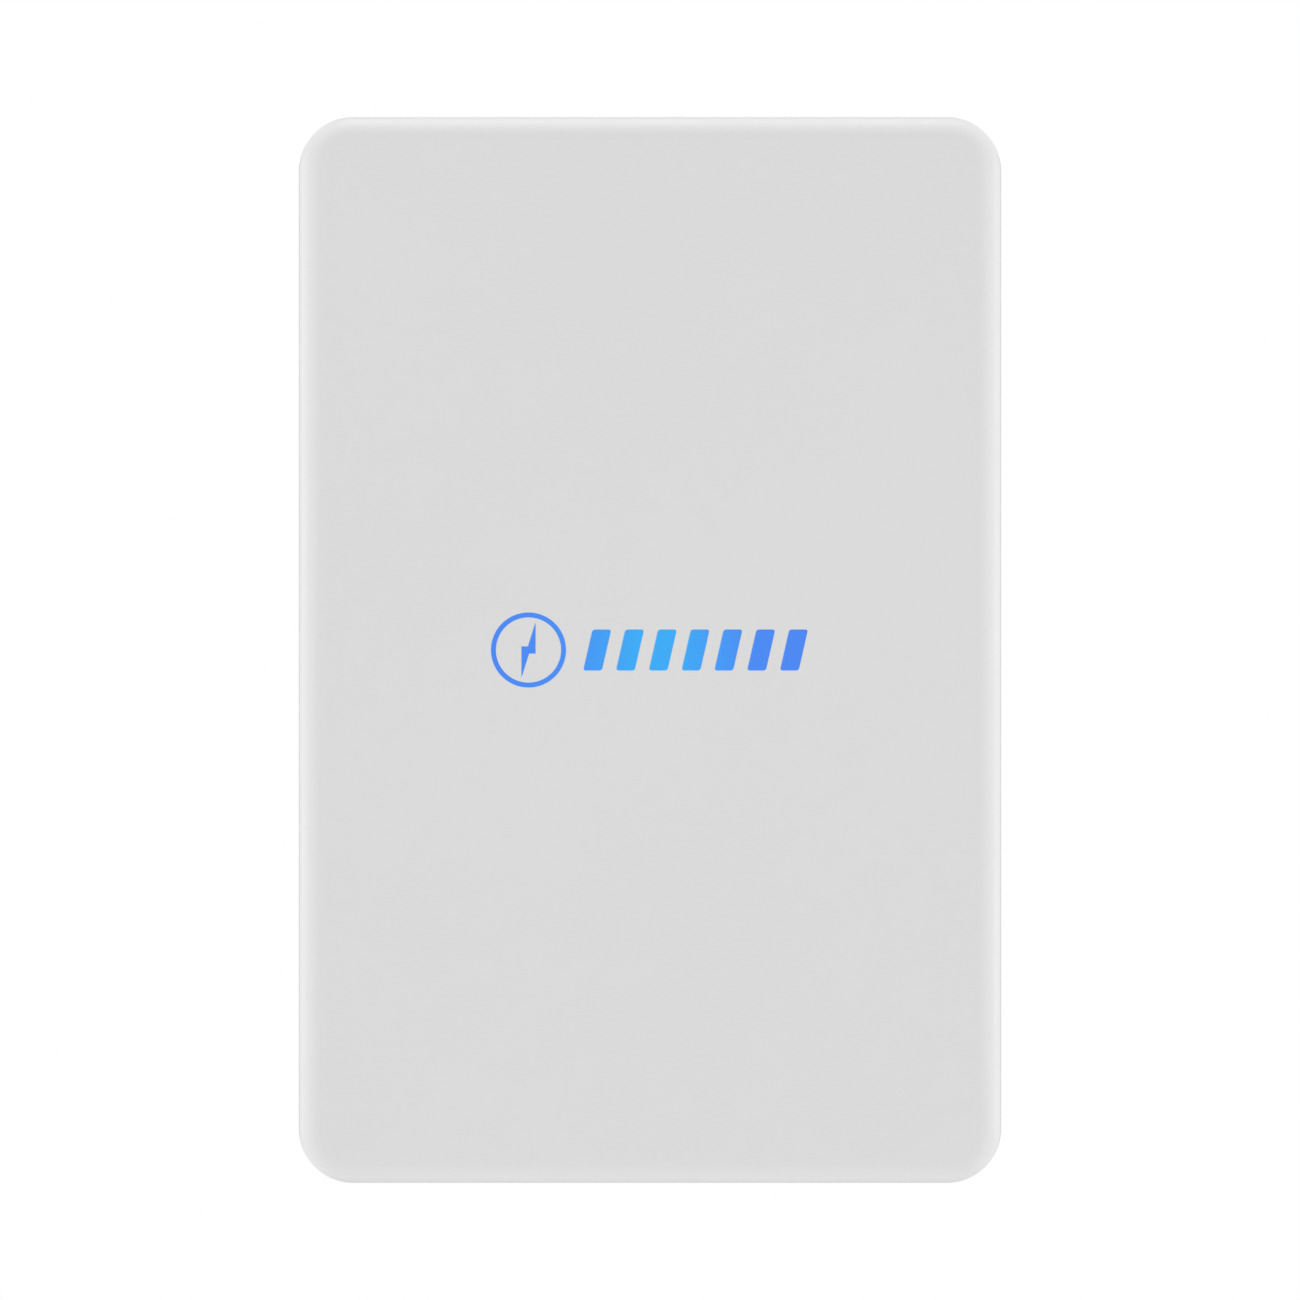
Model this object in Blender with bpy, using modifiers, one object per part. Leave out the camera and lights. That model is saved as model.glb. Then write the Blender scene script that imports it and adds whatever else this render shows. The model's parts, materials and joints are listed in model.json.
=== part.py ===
# Wall battery unit: a slim home battery that hangs on a wall bracket.
# Metres, +Z up. The wall is the plane y = 0 and the front faces -Y.
# The origin is on the wall bracket's back face, level with the middle of the case.

import math

import bmesh
import bpy

# ---------------------------------------------------------------- driving sizes
WIDTH = 0.600
HEIGHT = 0.910
CORNER_RADIUS = 0.046
GAP = 0.0003  # kept between two solids that touch
ROOT = 0.001  # how far a joined shape starts inside the one that carries it
THROUGH = 0.020  # length of a cutter that goes right through a sheet

# Housing
WALL_GAP = 0.022  # air behind the case, for the bracket and the cooling fins
CASE_WALL = 0.002
CASE_BACK_ROUNDING = 0.004
FLANGE_WIDTH = 0.012  # inward flange that carries the gasket
GASKET_THICKNESS = 0.002
GASKET_MARGIN = 0.0015
LID_THICKNESS = 0.0015
COVER_WALL = 0.003
COVER_EDGE_RADIUS = 0.020
COVER_SKIRT = 0.036  # how far the cover reaches back over the case
LID_SIDE_GAP = 0.001  # between the lid's front edge and the cover's rounded edge
COVER_SEAM = 0.0012  # shadow gap behind the skirt
COVER_SIDE_STEP = 0.0006  # the case is this much wider than the cover on each side
COVER_ROOM = 0.004  # free depth between the lid and the cover
PIN_FIT = 0.0003

# Cover pins and their grommets
PIN_RADIUS = 0.003
PIN_ROOT_RADIUS = 0.005
PIN_ROOT_LENGTH = 0.0015
PIN_LENGTH = 0.011
PIN_FROM_FLANGE = 0.00735  # from the flange's inner edge to the pin's axis
PIN_EDGE_Z = 0.070  # from the case's top or bottom to the pin's axis
GROMMET_WALL = 0.0014
GROMMET_LIP = 0.0023
GROMMET_LIP_THICKNESS = 0.0013

# Lid screws
SCREW_RADIUS = 0.0019
SCREW_HOLE_FIT = 0.0003
SCREW_HEAD_RADIUS = 0.0042
SCREW_HEAD_HEIGHT = 0.0022
SCREW_TAIL = 0.004
SCREW_EDGE_Z = 0.105  # from the case's top or bottom to the screw's axis

# Cells: three columns and three rows, less one place kept for the electronics
COLUMNS = 3
ROWS = 3
CELL_THICKNESS = 0.072
CELL_GAP = 0.001
CELL_CHAMFER = 0.0015
SIDE_ROOM = 0.036  # from the case's inner side to the first cell
TOP_ROOM = 0.020
BAY_HEIGHT = 0.222  # electronics bay below the cells
TERMINAL_ROOM = 0.016  # above each row, for terminals and links
TERMINAL_RADIUS = 0.008
TERMINAL_HEIGHT = 0.003
TERMINAL_INSET = 0.026  # from the cell's end to the terminal's axis
PAD_THICKNESS = 0.0015
SHEET_THICKNESS = 0.0008
PLATE_THICKNESS = 0.0015
PLATE_ROOM = 0.001
PLATE_FRAME = 0.024
BAR_THICKNESS = 0.003
BAR_WIDTH = 0.024
SIDE_LINK_OUT = 0.0065  # how far a link between two rows stands out beside the cells
RISER_OUT = 0.0160
LINK_OVERLAP = TERMINAL_RADIUS + 0.002  # of a link past a terminal's axis
CELL_VENT = (0.026, 0.014, 0.006)
CELL_VENT_HEIGHT = 0.002

# Connection recess in the underside
NOTCH_HALF_WIDTH = 0.140
NOTCH_HEIGHT = 0.042
NOTCH_DEPTH = 0.044
SOCKET_SPACING = 0.046
SOCKET_X = 0.105
SOCKET_FLANGE = 0.032
SOCKET_FLANGE_THICKNESS = 0.003
SOCKET_RADIUS = 0.013
SOCKET_BORE = 0.010
SOCKET_DEPTH = 0.018
SOCKET_CONTACT_RADIUS = 0.004
SOCKET_CONTACT_SINK = 0.003
SOCKET_TAIL_RADIUS = 0.009
SOCKET_TAIL = 0.020
PORT_X = -0.012
PORT_SIZE = (0.040, 0.022)
PORT_FLANGE = 0.004
PORT_FLANGE_THICKNESS = 0.002
PORT_BODY = 0.022
JACK_SIZE = (0.012, 0.009)
JACK_SPACING = 0.019
JACK_DEPTH = 0.014
PORT_FLAP_THICKNESS = 0.0015
PORT_EAR = (0.002, 0.006, 0.007)
PORT_EAR_INSET = 0.0005
PORT_PIVOT_RADIUS = 0.0010
PORT_BARREL_RADIUS = 0.0021
PORT_PULL = (0.014, 0.002, 0.004)
PORT_EXTRA_WIDTH = 0.006  # of the flange, for the ears
VENT_X = -0.070
VENT_RADIUS = 0.010
VENT_THREAD_RADIUS = 0.006
VENT_HEIGHT = 0.006
EARTH_X = -0.112
EARTH_STUD_RADIUS = 0.003
EARTH_STUD_LENGTH = 0.016
EARTH_NUT_RADIUS = 0.0058
EARTH_NUT_HEIGHT = 0.005
EARTH_COLLAR = 0.004
VENT_THREAD = 0.006

# Switch tray in the right side
TRAY_LENGTH = 0.130
TRAY_MOST_WIDTH = 0.036
TRAY_WALL = 0.0015
TRAY_DEPTH = 0.014
TRAY_RADIUS = 0.005
TRAY_LIP = 0.003
TRAY_BELOW_CELLS = 0.012
FLAP_LENGTH = 0.084
FLAP_THICKNESS = 0.0016
FLAP_SIDE_GAP = 0.0008
FLAP_PIVOT_RADIUS = 0.0010
PIN_HOLE_FIT = 0.0001
PIN_SKIN = 0.0005  # of tray wall left outside the pin's blind holes
FLAP_BARREL_RADIUS = 0.0021
BREAKER_BODY = (0.050, 0.034, 0.078)
BREAKER_NOSE = (0.026, 0.045)
BREAKER_NOSE_OUT = 0.003
TOGGLE_DRUM_RADIUS = 0.007
TOGGLE_WIDTH = 0.014
TOGGLE_FIT = 0.0005
TOGGLE_REACH = 0.0115
TOGGLE_THICKNESS = 0.004
TOGGLE_ON_ANGLE = math.radians(35)
BUTTON_RADIUS = 0.006
BUTTON_OUT = 0.0035
BUTTON_FLANGE = 0.0016
BUTTON_FROM_BOTTOM = 0.018
BUTTON_TRAVEL = 0.002
BUTTON_STEM_RADIUS = 0.0022
BUTTON_STEM = 0.0045
STEM_ROOM = 0.0007  # left under the stem with the button pressed
BUTTON_SPRING_LENGTH = BUTTON_STEM + BUTTON_TRAVEL + STEM_ROOM
BUTTON_FLANGE_HEIGHT = 0.0015
SPRING_RADIUS = 0.0042
SPRING_WIRE = 0.0004
SPRING_TURNS = 4
SWITCH_SIZE = (0.008, 0.014, 0.014)
LIGHT_SIZE = (0.003, 0.012)
LIGHT_OUT = 0.0008
LIGHT_TAIL = 0.004
LIGHT_ABOVE_BUTTON = 0.008
FLAP_PULL = (0.003, 0.0025)  # x and z
TRAY_LIP_THICKNESS = 0.002
TOGGLE_SINK = 0.004  # of the toggle's axis behind the breaker's nose

# Wall bracket
BRACKET_THICKNESS = 0.0025
BRACKET_HALF_WIDTH = 0.210
BRACKET_TOP_BAR = (0.250, 0.345)  # z of its lower and upper edge
BRACKET_LOW_BAR = (-0.215, -0.165)
BRACKET_STRAP_WIDTH = 0.090
BRACKET_CORNER = 0.006
HOOK_END = 0.010  # from the bracket's end to the hook's end
HOOK_DEPTH = 0.012
HOOK_HEIGHT = 0.017
SLOT_SIZE = (0.016, 0.008)
SLOT_X = 0.170
LOWER_SLOT_DROP = 0.004
RAIL_THICKNESS = 0.003
RAIL_FOOT = 0.028
RAIL_END = 0.030  # from the bracket's end to the rail's end
TAB_REACH = 0.017
LOCK_X = 0.190
LOCK_RADIUS = 0.0022
LOCK_LENGTH = 0.014
LOCK_HEAD_RADIUS = 0.0050
LOCK_HEAD_HEIGHT = 0.0035
BOSS_SIZE = (0.016, 0.024)  # across and tall
BOSS_WALL_CLEARANCE = 0.004

# Electronics
BOARD_THICKNESS = 0.002
CONVERTER_SIZE = (0.210, 0.150)
CONVERTER_X = -0.080
HEAT_SINK_MARGIN = 0.006
HEAT_SINK_BASE = 0.004
PEDESTAL_MARGIN = 0.020
PEDESTAL_REACH = 0.003
FIN_COUNT = 15
FIN_THICKNESS = 0.002
FIN_WALL_CLEARANCE = 0.004
CONVERTER_DROP = 0.022  # of the converter board below the cells
FUSE_SIZE = (0.034, 0.030, 0.052)
CONTACTOR_SIZE = (0.064, 0.058, 0.070)
POWER_COLUMN_X = -0.246
SHUNT_LENGTH = 0.078
SHUNT_BLOCK = (0.020, 0.030, 0.008)
LEAD_RADIUS = 0.004
LEAD_SPACING = 0.018
LEAD_DROP = 0.012
FUSE_DROP = 0.016  # of the fuse's top below the cells
FUSE_FOOT = (0.024, 0.040)
CONTACTOR_DROP = 0.014  # below the fuse
CONTACTOR_STUD = (0.005, 0.011)  # radius and length
CONTACTOR_STUD_X = 0.016
BMS_MARGIN = (0.010, 0.020)
BMS_SINK = 0.018  # of the control board's back behind the cells' fronts

# Blocks on the two boards: x and z from the board's middle, width, height and depth
CONVERTER_BLOCKS = [
    (-0.060, 0.035, 0.050, 0.044, 0.036),
    (-0.060, -0.030, 0.050, 0.044, 0.036),
    (0.075, 0.040, 0.036, 0.030, 0.018),
    (0.075, -0.045, 0.040, 0.024, 0.015),
    (0.020, 0.060, 0.050, 0.012, 0.010),
]
CAPACITOR = (0.011, 0.040)  # radius and height
CAPACITOR_PITCH = (0.026, 0.030)
CAPACITOR_START = (-0.006, 0.022)
BMS_BLOCKS = [
    (-0.040, 0.030, 0.030, 0.030, 0.004),
    (0.030, 0.040, 0.040, 0.018, 0.008),
    (0.030, -0.010, 0.024, 0.024, 0.003),
    (-0.040, -0.050, 0.050, 0.012, 0.009),
    (0.035, -0.055, 0.036, 0.014, 0.010),
]

# ---------------------------------------------------------------- derived places
CASE = (WIDTH, HEIGHT, CORNER_RADIUS)


def inset(outline, by):
    width, height, radius = outline
    return width - 2 * by, height - 2 * by, max(radius - by, 0.002)


COVER = (WIDTH - 2 * COVER_SIDE_STEP, HEIGHT, CORNER_RADIUS)
INNER_ROUNDING = COVER_EDGE_RADIUS - COVER_WALL
ROUNDING_LEFT = max(COVER_EDGE_RADIUS - COVER_WALL - COVER_ROOM, 0.0)
# How far inside the cover's outline its inner face still is, at the lid's front.
ROUNDED_IN = COVER_EDGE_RADIUS - math.sqrt(INNER_ROUNDING ** 2 - ROUNDING_LEFT ** 2)
NECK = inset(COVER, ROUNDED_IN + LID_SIDE_GAP)

CASE_BACK = -WALL_GAP
INNER_BACK = CASE_BACK - CASE_WALL
PAD_BACK = INNER_BACK - GAP
CELL_BACK = PAD_BACK - PAD_THICKNESS - GAP
CELL_FRONT = CELL_BACK - CELL_THICKNESS
CELL_MIDDLE = (CELL_BACK + CELL_FRONT) / 2
SHEET_BACK = CELL_FRONT - GAP
PLATE_BACK = SHEET_BACK - SHEET_THICKNESS - GAP
PLATE_FRONT = PLATE_BACK - PLATE_THICKNESS
FLANGE_FRONT = PLATE_FRONT - PLATE_ROOM
FLANGE_BACK = FLANGE_FRONT + CASE_WALL
GASKET_BACK = FLANGE_FRONT - GAP
LID_BACK = GASKET_BACK - GASKET_THICKNESS - GAP
LID_FRONT = LID_BACK - LID_THICKNESS
COVER_INSIDE = LID_FRONT - COVER_ROOM
FRONT = COVER_INSIDE - COVER_WALL
COVER_BACK = FRONT + COVER_SKIRT
CASE_STEP = COVER_BACK + COVER_SEAM

CASE_STRAIGHT = CASE_BACK - CASE_STEP - 2 * CASE_WALL
TRAY_WIDTH = min(TRAY_MOST_WIDTH, CASE_STRAIGHT - 2 * (TRAY_WALL + TRAY_LIP + GAP))
TRAY_OPENING = (TRAY_WIDTH, TRAY_LENGTH)  # y and z

SIDE = WIDTH / 2
INNER_SIDE = SIDE - CASE_WALL
CELL_WIDTH = (2 * (INNER_SIDE - SIDE_ROOM) - (COLUMNS - 1) * CELL_GAP) / COLUMNS
CELLS_TOP = HEIGHT / 2 - CASE_WALL - TOP_ROOM
BAY_BOTTOM = -HEIGHT / 2 + CASE_WALL
ROW_PITCH = (CELLS_TOP - BAY_BOTTOM - BAY_HEIGHT) / ROWS
CELL_HEIGHT = ROW_PITCH - TERMINAL_ROOM - CELL_GAP
BAY_TOP = BAY_BOTTOM + BAY_HEIGHT
CELLS_SIDE = INNER_SIDE - SIDE_ROOM

NOTCH_TOP = -HEIGHT / 2 + NOTCH_HEIGHT
NOTCH_FRONT = CASE_BACK - NOTCH_DEPTH
NOTCH_MIDDLE = (CASE_BACK + NOTCH_FRONT) / 2
CEILING_TOP = NOTCH_TOP + CASE_WALL

TRAY_TOP = BAY_TOP - TRAY_BELOW_CELLS
TRAY_MIDDLE_Z = TRAY_TOP - TRAY_OPENING[1] / 2
TRAY_BOTTOM = TRAY_TOP - TRAY_OPENING[1]
TRAY_Y = (CASE_BACK + CASE_STEP) / 2
TRAY_FLOOR = SIDE - TRAY_DEPTH
FLAP_AXIS_X = SIDE - FLAP_BARREL_RADIUS - GAP
FLAP_AXIS_Z = TRAY_TOP - TRAY_WALL - FLAP_BARREL_RADIUS - FLAP_SIDE_GAP
BREAKER_Z = FLAP_AXIS_Z - FLAP_LENGTH / 2
BREAKER_FRONT = TRAY_FLOOR - TRAY_WALL - GAP
TOGGLE_AXIS_X = TRAY_FLOOR + BREAKER_NOSE_OUT - TOGGLE_SINK
BUTTON_Z = TRAY_BOTTOM + BUTTON_FROM_BOTTOM


# ---------------------------------------------------------------- modelling helpers
def clear_scene():
    for obj in list(bpy.data.objects):
        bpy.data.objects.remove(obj, do_unlink=True)


def new_collection(name):
    made = bpy.data.collections.new(name)
    bpy.context.scene.collection.children.link(made)
    return made


clear_scene()
PARTS = new_collection("wall_battery_unit")
CUTTERS = new_collection("cutters")


def finish(name, colour, roughness, metallic=0.0, alpha=1.0):
    mat = bpy.data.materials.new(name)
    mat.use_nodes = True
    shader = mat.node_tree.nodes["Principled BSDF"]
    shader.inputs["Base Color"].default_value = (*colour, 1.0)
    shader.inputs["Roughness"].default_value = roughness
    shader.inputs["Metallic"].default_value = metallic
    shader.inputs["Alpha"].default_value = alpha
    return mat


def place(name, mesh, centre, mat):
    """A part if it has a material, and otherwise a hidden helper for a Boolean."""
    obj = bpy.data.objects.new(name, mesh)
    obj.location = centre
    if mat:
        mesh.materials.append(mat)
        PARTS.objects.link(obj)
    else:
        CUTTERS.objects.link(obj)
        obj.hide_render = True
        obj.display_type = "WIRE"
    return obj


def mesh_from(bm, name, smooth=False):
    bmesh.ops.recalc_face_normals(bm, faces=bm.faces)
    mesh = bpy.data.meshes.new(name)
    bm.to_mesh(mesh)
    bm.free()
    if smooth:
        mesh.shade_smooth()
        mesh.set_sharp_from_angle(angle=math.radians(35))
    return mesh


def box(name, size, centre, mat=None, chamfer=0.0):
    bm = bmesh.new()
    bmesh.ops.create_cube(bm, size=1.0)
    bmesh.ops.scale(bm, vec=size, verts=bm.verts)
    if chamfer:
        bmesh.ops.bevel(bm, geom=bm.edges[:], offset=chamfer, segments=1, affect="EDGES")
    return place(name, mesh_from(bm, name), centre, mat)


def lying_along(edge, axis):
    run = edge.verts[1].co - edge.verts[0].co
    return abs(run[axis]) > 0.99 * run.length


def slab(name, outline, back, front, mat=None, centre=(0.0, 0.0), segments=8,
         round_front=0.0, round_back=0.0, round_segments=5):
    """A rounded rectangle in X and Z, from y = back to y = front."""
    width, height, radius = outline
    depth = back - front
    bm = bmesh.new()
    bmesh.ops.create_cube(bm, size=1.0)
    bmesh.ops.scale(bm, vec=(width, depth, height), verts=bm.verts)
    corners = [edge for edge in bm.edges if lying_along(edge, 1)]
    bmesh.ops.bevel(bm, geom=corners, offset=radius, segments=segments,
                    profile=0.5, affect="EDGES")
    for rounding, side, steps in ((round_front, -1, round_segments), (round_back, 1, 2)):
        if not rounding:
            continue
        rim = [edge for edge in bm.edges
               if all(vert.co.y * side > depth / 2 - 1e-6 for vert in edge.verts)]
        bmesh.ops.bevel(bm, geom=rim, offset=rounding, segments=steps,
                        profile=0.5, affect="EDGES")
    middle = (centre[0], (back + front) / 2, centre[1])
    return place(name, mesh_from(bm, name, smooth=True), middle, mat)


def rod(name, radius, length, centre, axis="Z", mat=None, sides=20):
    bm = bmesh.new()
    bmesh.ops.create_cone(bm, cap_ends=True, segments=sides, radius1=radius, radius2=radius,
                          depth=length)
    obj = place(name, mesh_from(bm, name, smooth=True), centre, mat)
    turns = {"X": (0, math.pi / 2, 0), "Y": (math.pi / 2, 0, 0), "Z": (0, 0, 0)}
    obj.rotation_euler = turns[axis]
    return obj


def turned(name, profile, centre, axis="Z", mat=None, steps=20, closed=False):
    """A turned shape from (radius, height) points that run down its outer side."""
    mesh = bpy.data.meshes.new(name)
    edges = [(i, i + 1) for i in range(len(profile) - 1)]
    if closed:
        edges.append((len(profile) - 1, 0))
    mesh.from_pydata([(radius, 0, height) for radius, height in profile], edges, [])
    obj = place(name, mesh, centre, mat)
    screw = obj.modifiers.new("turn", "SCREW")
    screw.steps = screw.render_steps = steps
    screw.use_merge_vertices = True
    screw.merge_threshold = 0.0001
    turns = {"Z": (0, 0, 0), "-Y": (math.pi / 2, 0, 0), "X": (0, math.pi / 2, 0)}
    obj.rotation_euler = turns[axis]
    return obj


def strip(name, path, width, thickness, middle, mat=None, plane="XZ"):
    """A bent strip: a path in one plane, drawn out across it and given a thickness."""
    bm = bmesh.new()
    rows = []
    for u, z in path:
        ends = (-width / 2, width / 2)
        if plane == "XZ":
            rows.append([bm.verts.new((u, side, z)) for side in ends])
        else:
            rows.append([bm.verts.new((side, u, z)) for side in ends])
    for first, second in zip(rows, rows[1:]):
        bm.faces.new((first[0], first[1], second[1], second[0]))
    centre = (0, middle, 0) if plane == "XZ" else (middle, 0, 0)
    obj = place(name, mesh_from(bm, name), centre, mat)
    solidify = obj.modifiers.new("thickness", "SOLIDIFY")
    solidify.thickness = thickness
    solidify.offset = 0.0
    solidify.use_even_offset = True
    return obj


def combine(obj, other, operation):
    boolean = obj.modifiers.new(other.name, "BOOLEAN")
    boolean.operation = operation
    boolean.object = other
    return obj


def cut(obj, *others):
    for other in others:
        combine(obj, other, "DIFFERENCE")
    return obj


def join(obj, *others):
    for other in others:
        combine(obj, other, "UNION")
    return obj


def baked(obj):
    """The object's evaluated mesh, welded, as a plain mesh."""
    graph = bpy.context.evaluated_depsgraph_get()
    mesh = bpy.data.meshes.new_from_object(obj.evaluated_get(graph))
    bm = bmesh.new()
    bm.from_mesh(mesh)
    bmesh.ops.remove_doubles(bm, verts=bm.verts, dist=1e-6)
    bm.to_mesh(mesh)
    bm.free()
    return mesh


def pivot(name, at):
    empty = bpy.data.objects.new(name, None)
    empty.location = at
    empty.empty_display_size = 0.01
    PARTS.objects.link(empty)
    return empty


def hang_on(empty, obj):
    obj.parent = empty
    obj.matrix_parent_inverse = empty.matrix_basis.inverted()


def pin_places():
    x = NECK[0] / 2 - FLANGE_WIDTH - PIN_FROM_FLANGE
    z = HEIGHT / 2 - PIN_EDGE_Z
    return [(-x, z), (x, z), (-x, -z), (x, -z)]


def screw_places():
    x = NECK[0] / 2 - FLANGE_WIDTH / 2
    z = HEIGHT / 2 - SCREW_EDGE_Z
    return [(-x, z), (x, z), (-x, -z), (x, -z)]


# ---------------------------------------------------------------- wall bracket
def make_wall_bracket(steel):
    low, high = BRACKET_TOP_BAR
    middle_y = -BRACKET_THICKNESS / 2
    across = 2 * BRACKET_HALF_WIDTH
    bracket = slab("wall_bracket", (across, high - low, BRACKET_CORNER), 0, -BRACKET_THICKNESS,
                   steel, centre=(0, (low + high) / 2), segments=3)
    foot_low, foot_high = BRACKET_LOW_BAR
    foot = slab("bracket_low_bar", (across, foot_high - foot_low, BRACKET_CORNER), 0,
                -BRACKET_THICKNESS, centre=(0, (foot_low + foot_high) / 2), segments=3)
    strap_high = low + BRACKET_CORNER
    strap_low = foot_high - BRACKET_CORNER
    strap = box("bracket_strap", (BRACKET_STRAP_WIDTH, BRACKET_THICKNESS, strap_high - strap_low),
                (0, middle_y, (strap_high + strap_low) / 2))
    shelf_z = high - HOOK_HEIGHT
    inner = BRACKET_THICKNESS / 2
    hook_path = [(-GAP, shelf_z), (-HOOK_DEPTH + inner, shelf_z),
                 (-HOOK_DEPTH + inner, high)]
    hook = strip("bracket_hook", hook_path, across - 2 * HOOK_END, BRACKET_THICKNESS, 0,
                 plane="YZ")
    join(bracket, foot, strap, hook)
    for side in (-1, 1):
        tab = box("bracket_tab", (BOSS_SIZE[0], TAB_REACH, BRACKET_THICKNESS),
                  (side * LOCK_X, -TAB_REACH / 2 - GAP, foot_high - BRACKET_THICKNESS / 2))
        hole = rod("bracket_tab_hole", LOCK_RADIUS + SCREW_HOLE_FIT, THROUGH,
                   (side * LOCK_X, lock_y(), foot_high))
        join(bracket, tab)
        cut(bracket, hole)
    slot = (SLOT_SIZE[0], SLOT_SIZE[1], SLOT_SIZE[1] / 2 - GAP)
    upper_z = (low + shelf_z) / 2
    lower_z = (foot_low + foot_high) / 2 - LOWER_SLOT_DROP
    for x, z in [(-SLOT_X, upper_z), (0, upper_z), (SLOT_X, upper_z),
                 (-SLOT_X, lower_z), (SLOT_X, lower_z)]:
        cut(bracket, slab("bracket_slot", slot, THROUGH / 2, -THROUGH / 2, centre=(x, z), segments=4))
    return bracket


def lock_y():
    return -(BOSS_WALL_CLEARANCE + WALL_GAP) / 2


def make_hanger_rail(steel):
    shelf_z = BRACKET_TOP_BAR[1] - HOOK_HEIGHT + BRACKET_THICKNESS / 2
    lip_y = -HOOK_DEPTH / 2
    top_z = BRACKET_TOP_BAR[1] + RAIL_THICKNESS * 1.5
    foot_y = CASE_BACK + GAP + RAIL_THICKNESS / 2
    path = [(lip_y, shelf_z + GAP), (lip_y, top_z), (foot_y, top_z),
            (foot_y, top_z + RAIL_FOOT)]
    return strip("hanger_rail", path, 2 * (BRACKET_HALF_WIDTH - RAIL_END), RAIL_THICKNESS, 0,
                 steel, plane="YZ")


def make_lock_screws(steel):
    under = BRACKET_LOW_BAR[1] - BRACKET_THICKNESS - GAP
    for side, word in ((-1, "left"), (1, "right")):
        profile = [(0, LOCK_LENGTH), (LOCK_RADIUS * 0.7, LOCK_LENGTH),
                   (LOCK_RADIUS, LOCK_LENGTH - 0.001), (LOCK_RADIUS, 0),
                   (LOCK_HEAD_RADIUS, 0), (LOCK_HEAD_RADIUS, -LOCK_HEAD_HEIGHT * 0.6),
                   (LOCK_HEAD_RADIUS * 0.8, -LOCK_HEAD_HEIGHT), (0, -LOCK_HEAD_HEIGHT)]
        turned(f"lock_screw_{word}", profile, (side * LOCK_X, lock_y(), under),
               mat=steel, steps=16)


# ---------------------------------------------------------------- case, lid, gasket
def make_rear_case(paint):
    case = slab("rear_case", CASE, CASE_BACK, CASE_STEP, paint,
                round_back=CASE_BACK_ROUNDING)
    neck = slab("case_neck", NECK, CASE_STEP + CASE_WALL / 2, FLANGE_FRONT)
    join(case, neck)
    for side in (-1, 1):
        low = BRACKET_LOW_BAR[1] + 2 * GAP
        reach = WALL_GAP - BOSS_WALL_CLEARANCE + CASE_WALL / 2
        boss = box("case_boss", (BOSS_SIZE[0], reach, BOSS_SIZE[1]),
                   (side * LOCK_X, -BOSS_WALL_CLEARANCE - reach / 2, low + BOSS_SIZE[1] / 2))
        thread = rod("case_boss_thread", LOCK_RADIUS + SCREW_HOLE_FIT, 2 * (LOCK_LENGTH + 2 * ROOT),
                     (side * LOCK_X, lock_y(), low))
        join(case, boss)
        cut(case, thread)

    cavity = slab("case_cavity", inset(CASE, CASE_WALL), INNER_BACK, CASE_STEP + CASE_WALL)
    neck_cavity = slab("case_neck_cavity", inset(NECK, CASE_WALL), INNER_BACK - CASE_WALL,
                       FLANGE_BACK)
    opening = slab("case_opening", inset(NECK, FLANGE_WIDTH), FLANGE_BACK + CASE_WALL,
                   FLANGE_FRONT - THROUGH / 2)
    join(cavity, neck_cavity, opening)
    deep = NOTCH_DEPTH + THROUGH
    tall = NOTCH_HEIGHT + THROUGH
    keep = box("case_keep_round_notch", (2 * (NOTCH_HALF_WIDTH + CASE_WALL), deep, tall),
               (0, NOTCH_FRONT - CASE_WALL + deep / 2, CEILING_TOP - tall / 2))
    cut(cavity, keep)
    cut(case, cavity)

    notch = box("case_notch", (2 * NOTCH_HALF_WIDTH, deep, tall),
                (0, NOTCH_FRONT + deep / 2, NOTCH_TOP - tall / 2))
    cut(case, notch)
    for x in socket_xs():
        cut(case, rod("case_socket_hole", SOCKET_TAIL_RADIUS + GAP, THROUGH,
                      (x, NOTCH_MIDDLE, NOTCH_TOP)))
    cut(case, rod("case_vent_hole", VENT_THREAD_RADIUS + GAP, THROUGH,
                  (VENT_X, NOTCH_MIDDLE, NOTCH_TOP)))
    cut(case, rod("case_earth_hole", EARTH_STUD_RADIUS + GAP, THROUGH,
                  (EARTH_X, NOTCH_MIDDLE, NOTCH_TOP), sides=16))
    cut(case, box("case_port_window", (PORT_SIZE[0] + 2 * GAP, PORT_SIZE[1] + 2 * GAP, THROUGH),
                  (PORT_X, NOTCH_MIDDLE, NOTCH_TOP)))
    cut(case, side_window("case_tray_window", GAP))
    for x, z in screw_places():
        cut(case, rod("case_screw_hole", SCREW_RADIUS + SCREW_HOLE_FIT, THROUGH,
                      (x, FLANGE_FRONT, z), axis="Y", sides=12))
    width, height = pedestal_size()
    cut(case, box("case_heat_window", (width + 2 * GAP, THROUGH, height + 2 * GAP),
                  (CONVERTER_X, CASE_BACK, converter_z())))
    return case


def side_window(name, grow):
    """The rounded opening in the right side that the switch tray sits in."""
    size = (TRAY_OPENING[0] + 2 * (TRAY_WALL + grow), TRAY_OPENING[1] + 2 * (TRAY_WALL + grow),
            TRAY_RADIUS + grow)
    window = slab(name, size, THROUGH / 2, -THROUGH / 2, segments=4)
    window.location = (SIDE, TRAY_Y, TRAY_MIDDLE_Z)
    window.rotation_euler = (0, 0, math.pi / 2)
    return window


def socket_xs():
    return SOCKET_X, SOCKET_X - SOCKET_SPACING


def make_gasket(rubber):
    ring = slab("lid_gasket", inset(NECK, GASKET_MARGIN), GASKET_BACK,
                GASKET_BACK - GASKET_THICKNESS, rubber)
    inside = inset(NECK, FLANGE_WIDTH - GASKET_MARGIN)
    cut(ring, slab("gasket_inside", inside, GASKET_BACK + THROUGH / 2, LID_BACK - THROUGH / 2))
    for x, z in screw_places():
        cut(ring, rod("gasket_hole", SCREW_RADIUS + SCREW_HOLE_FIT, THROUGH,
                      (x, GASKET_BACK, z), axis="Y", sides=12))


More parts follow.
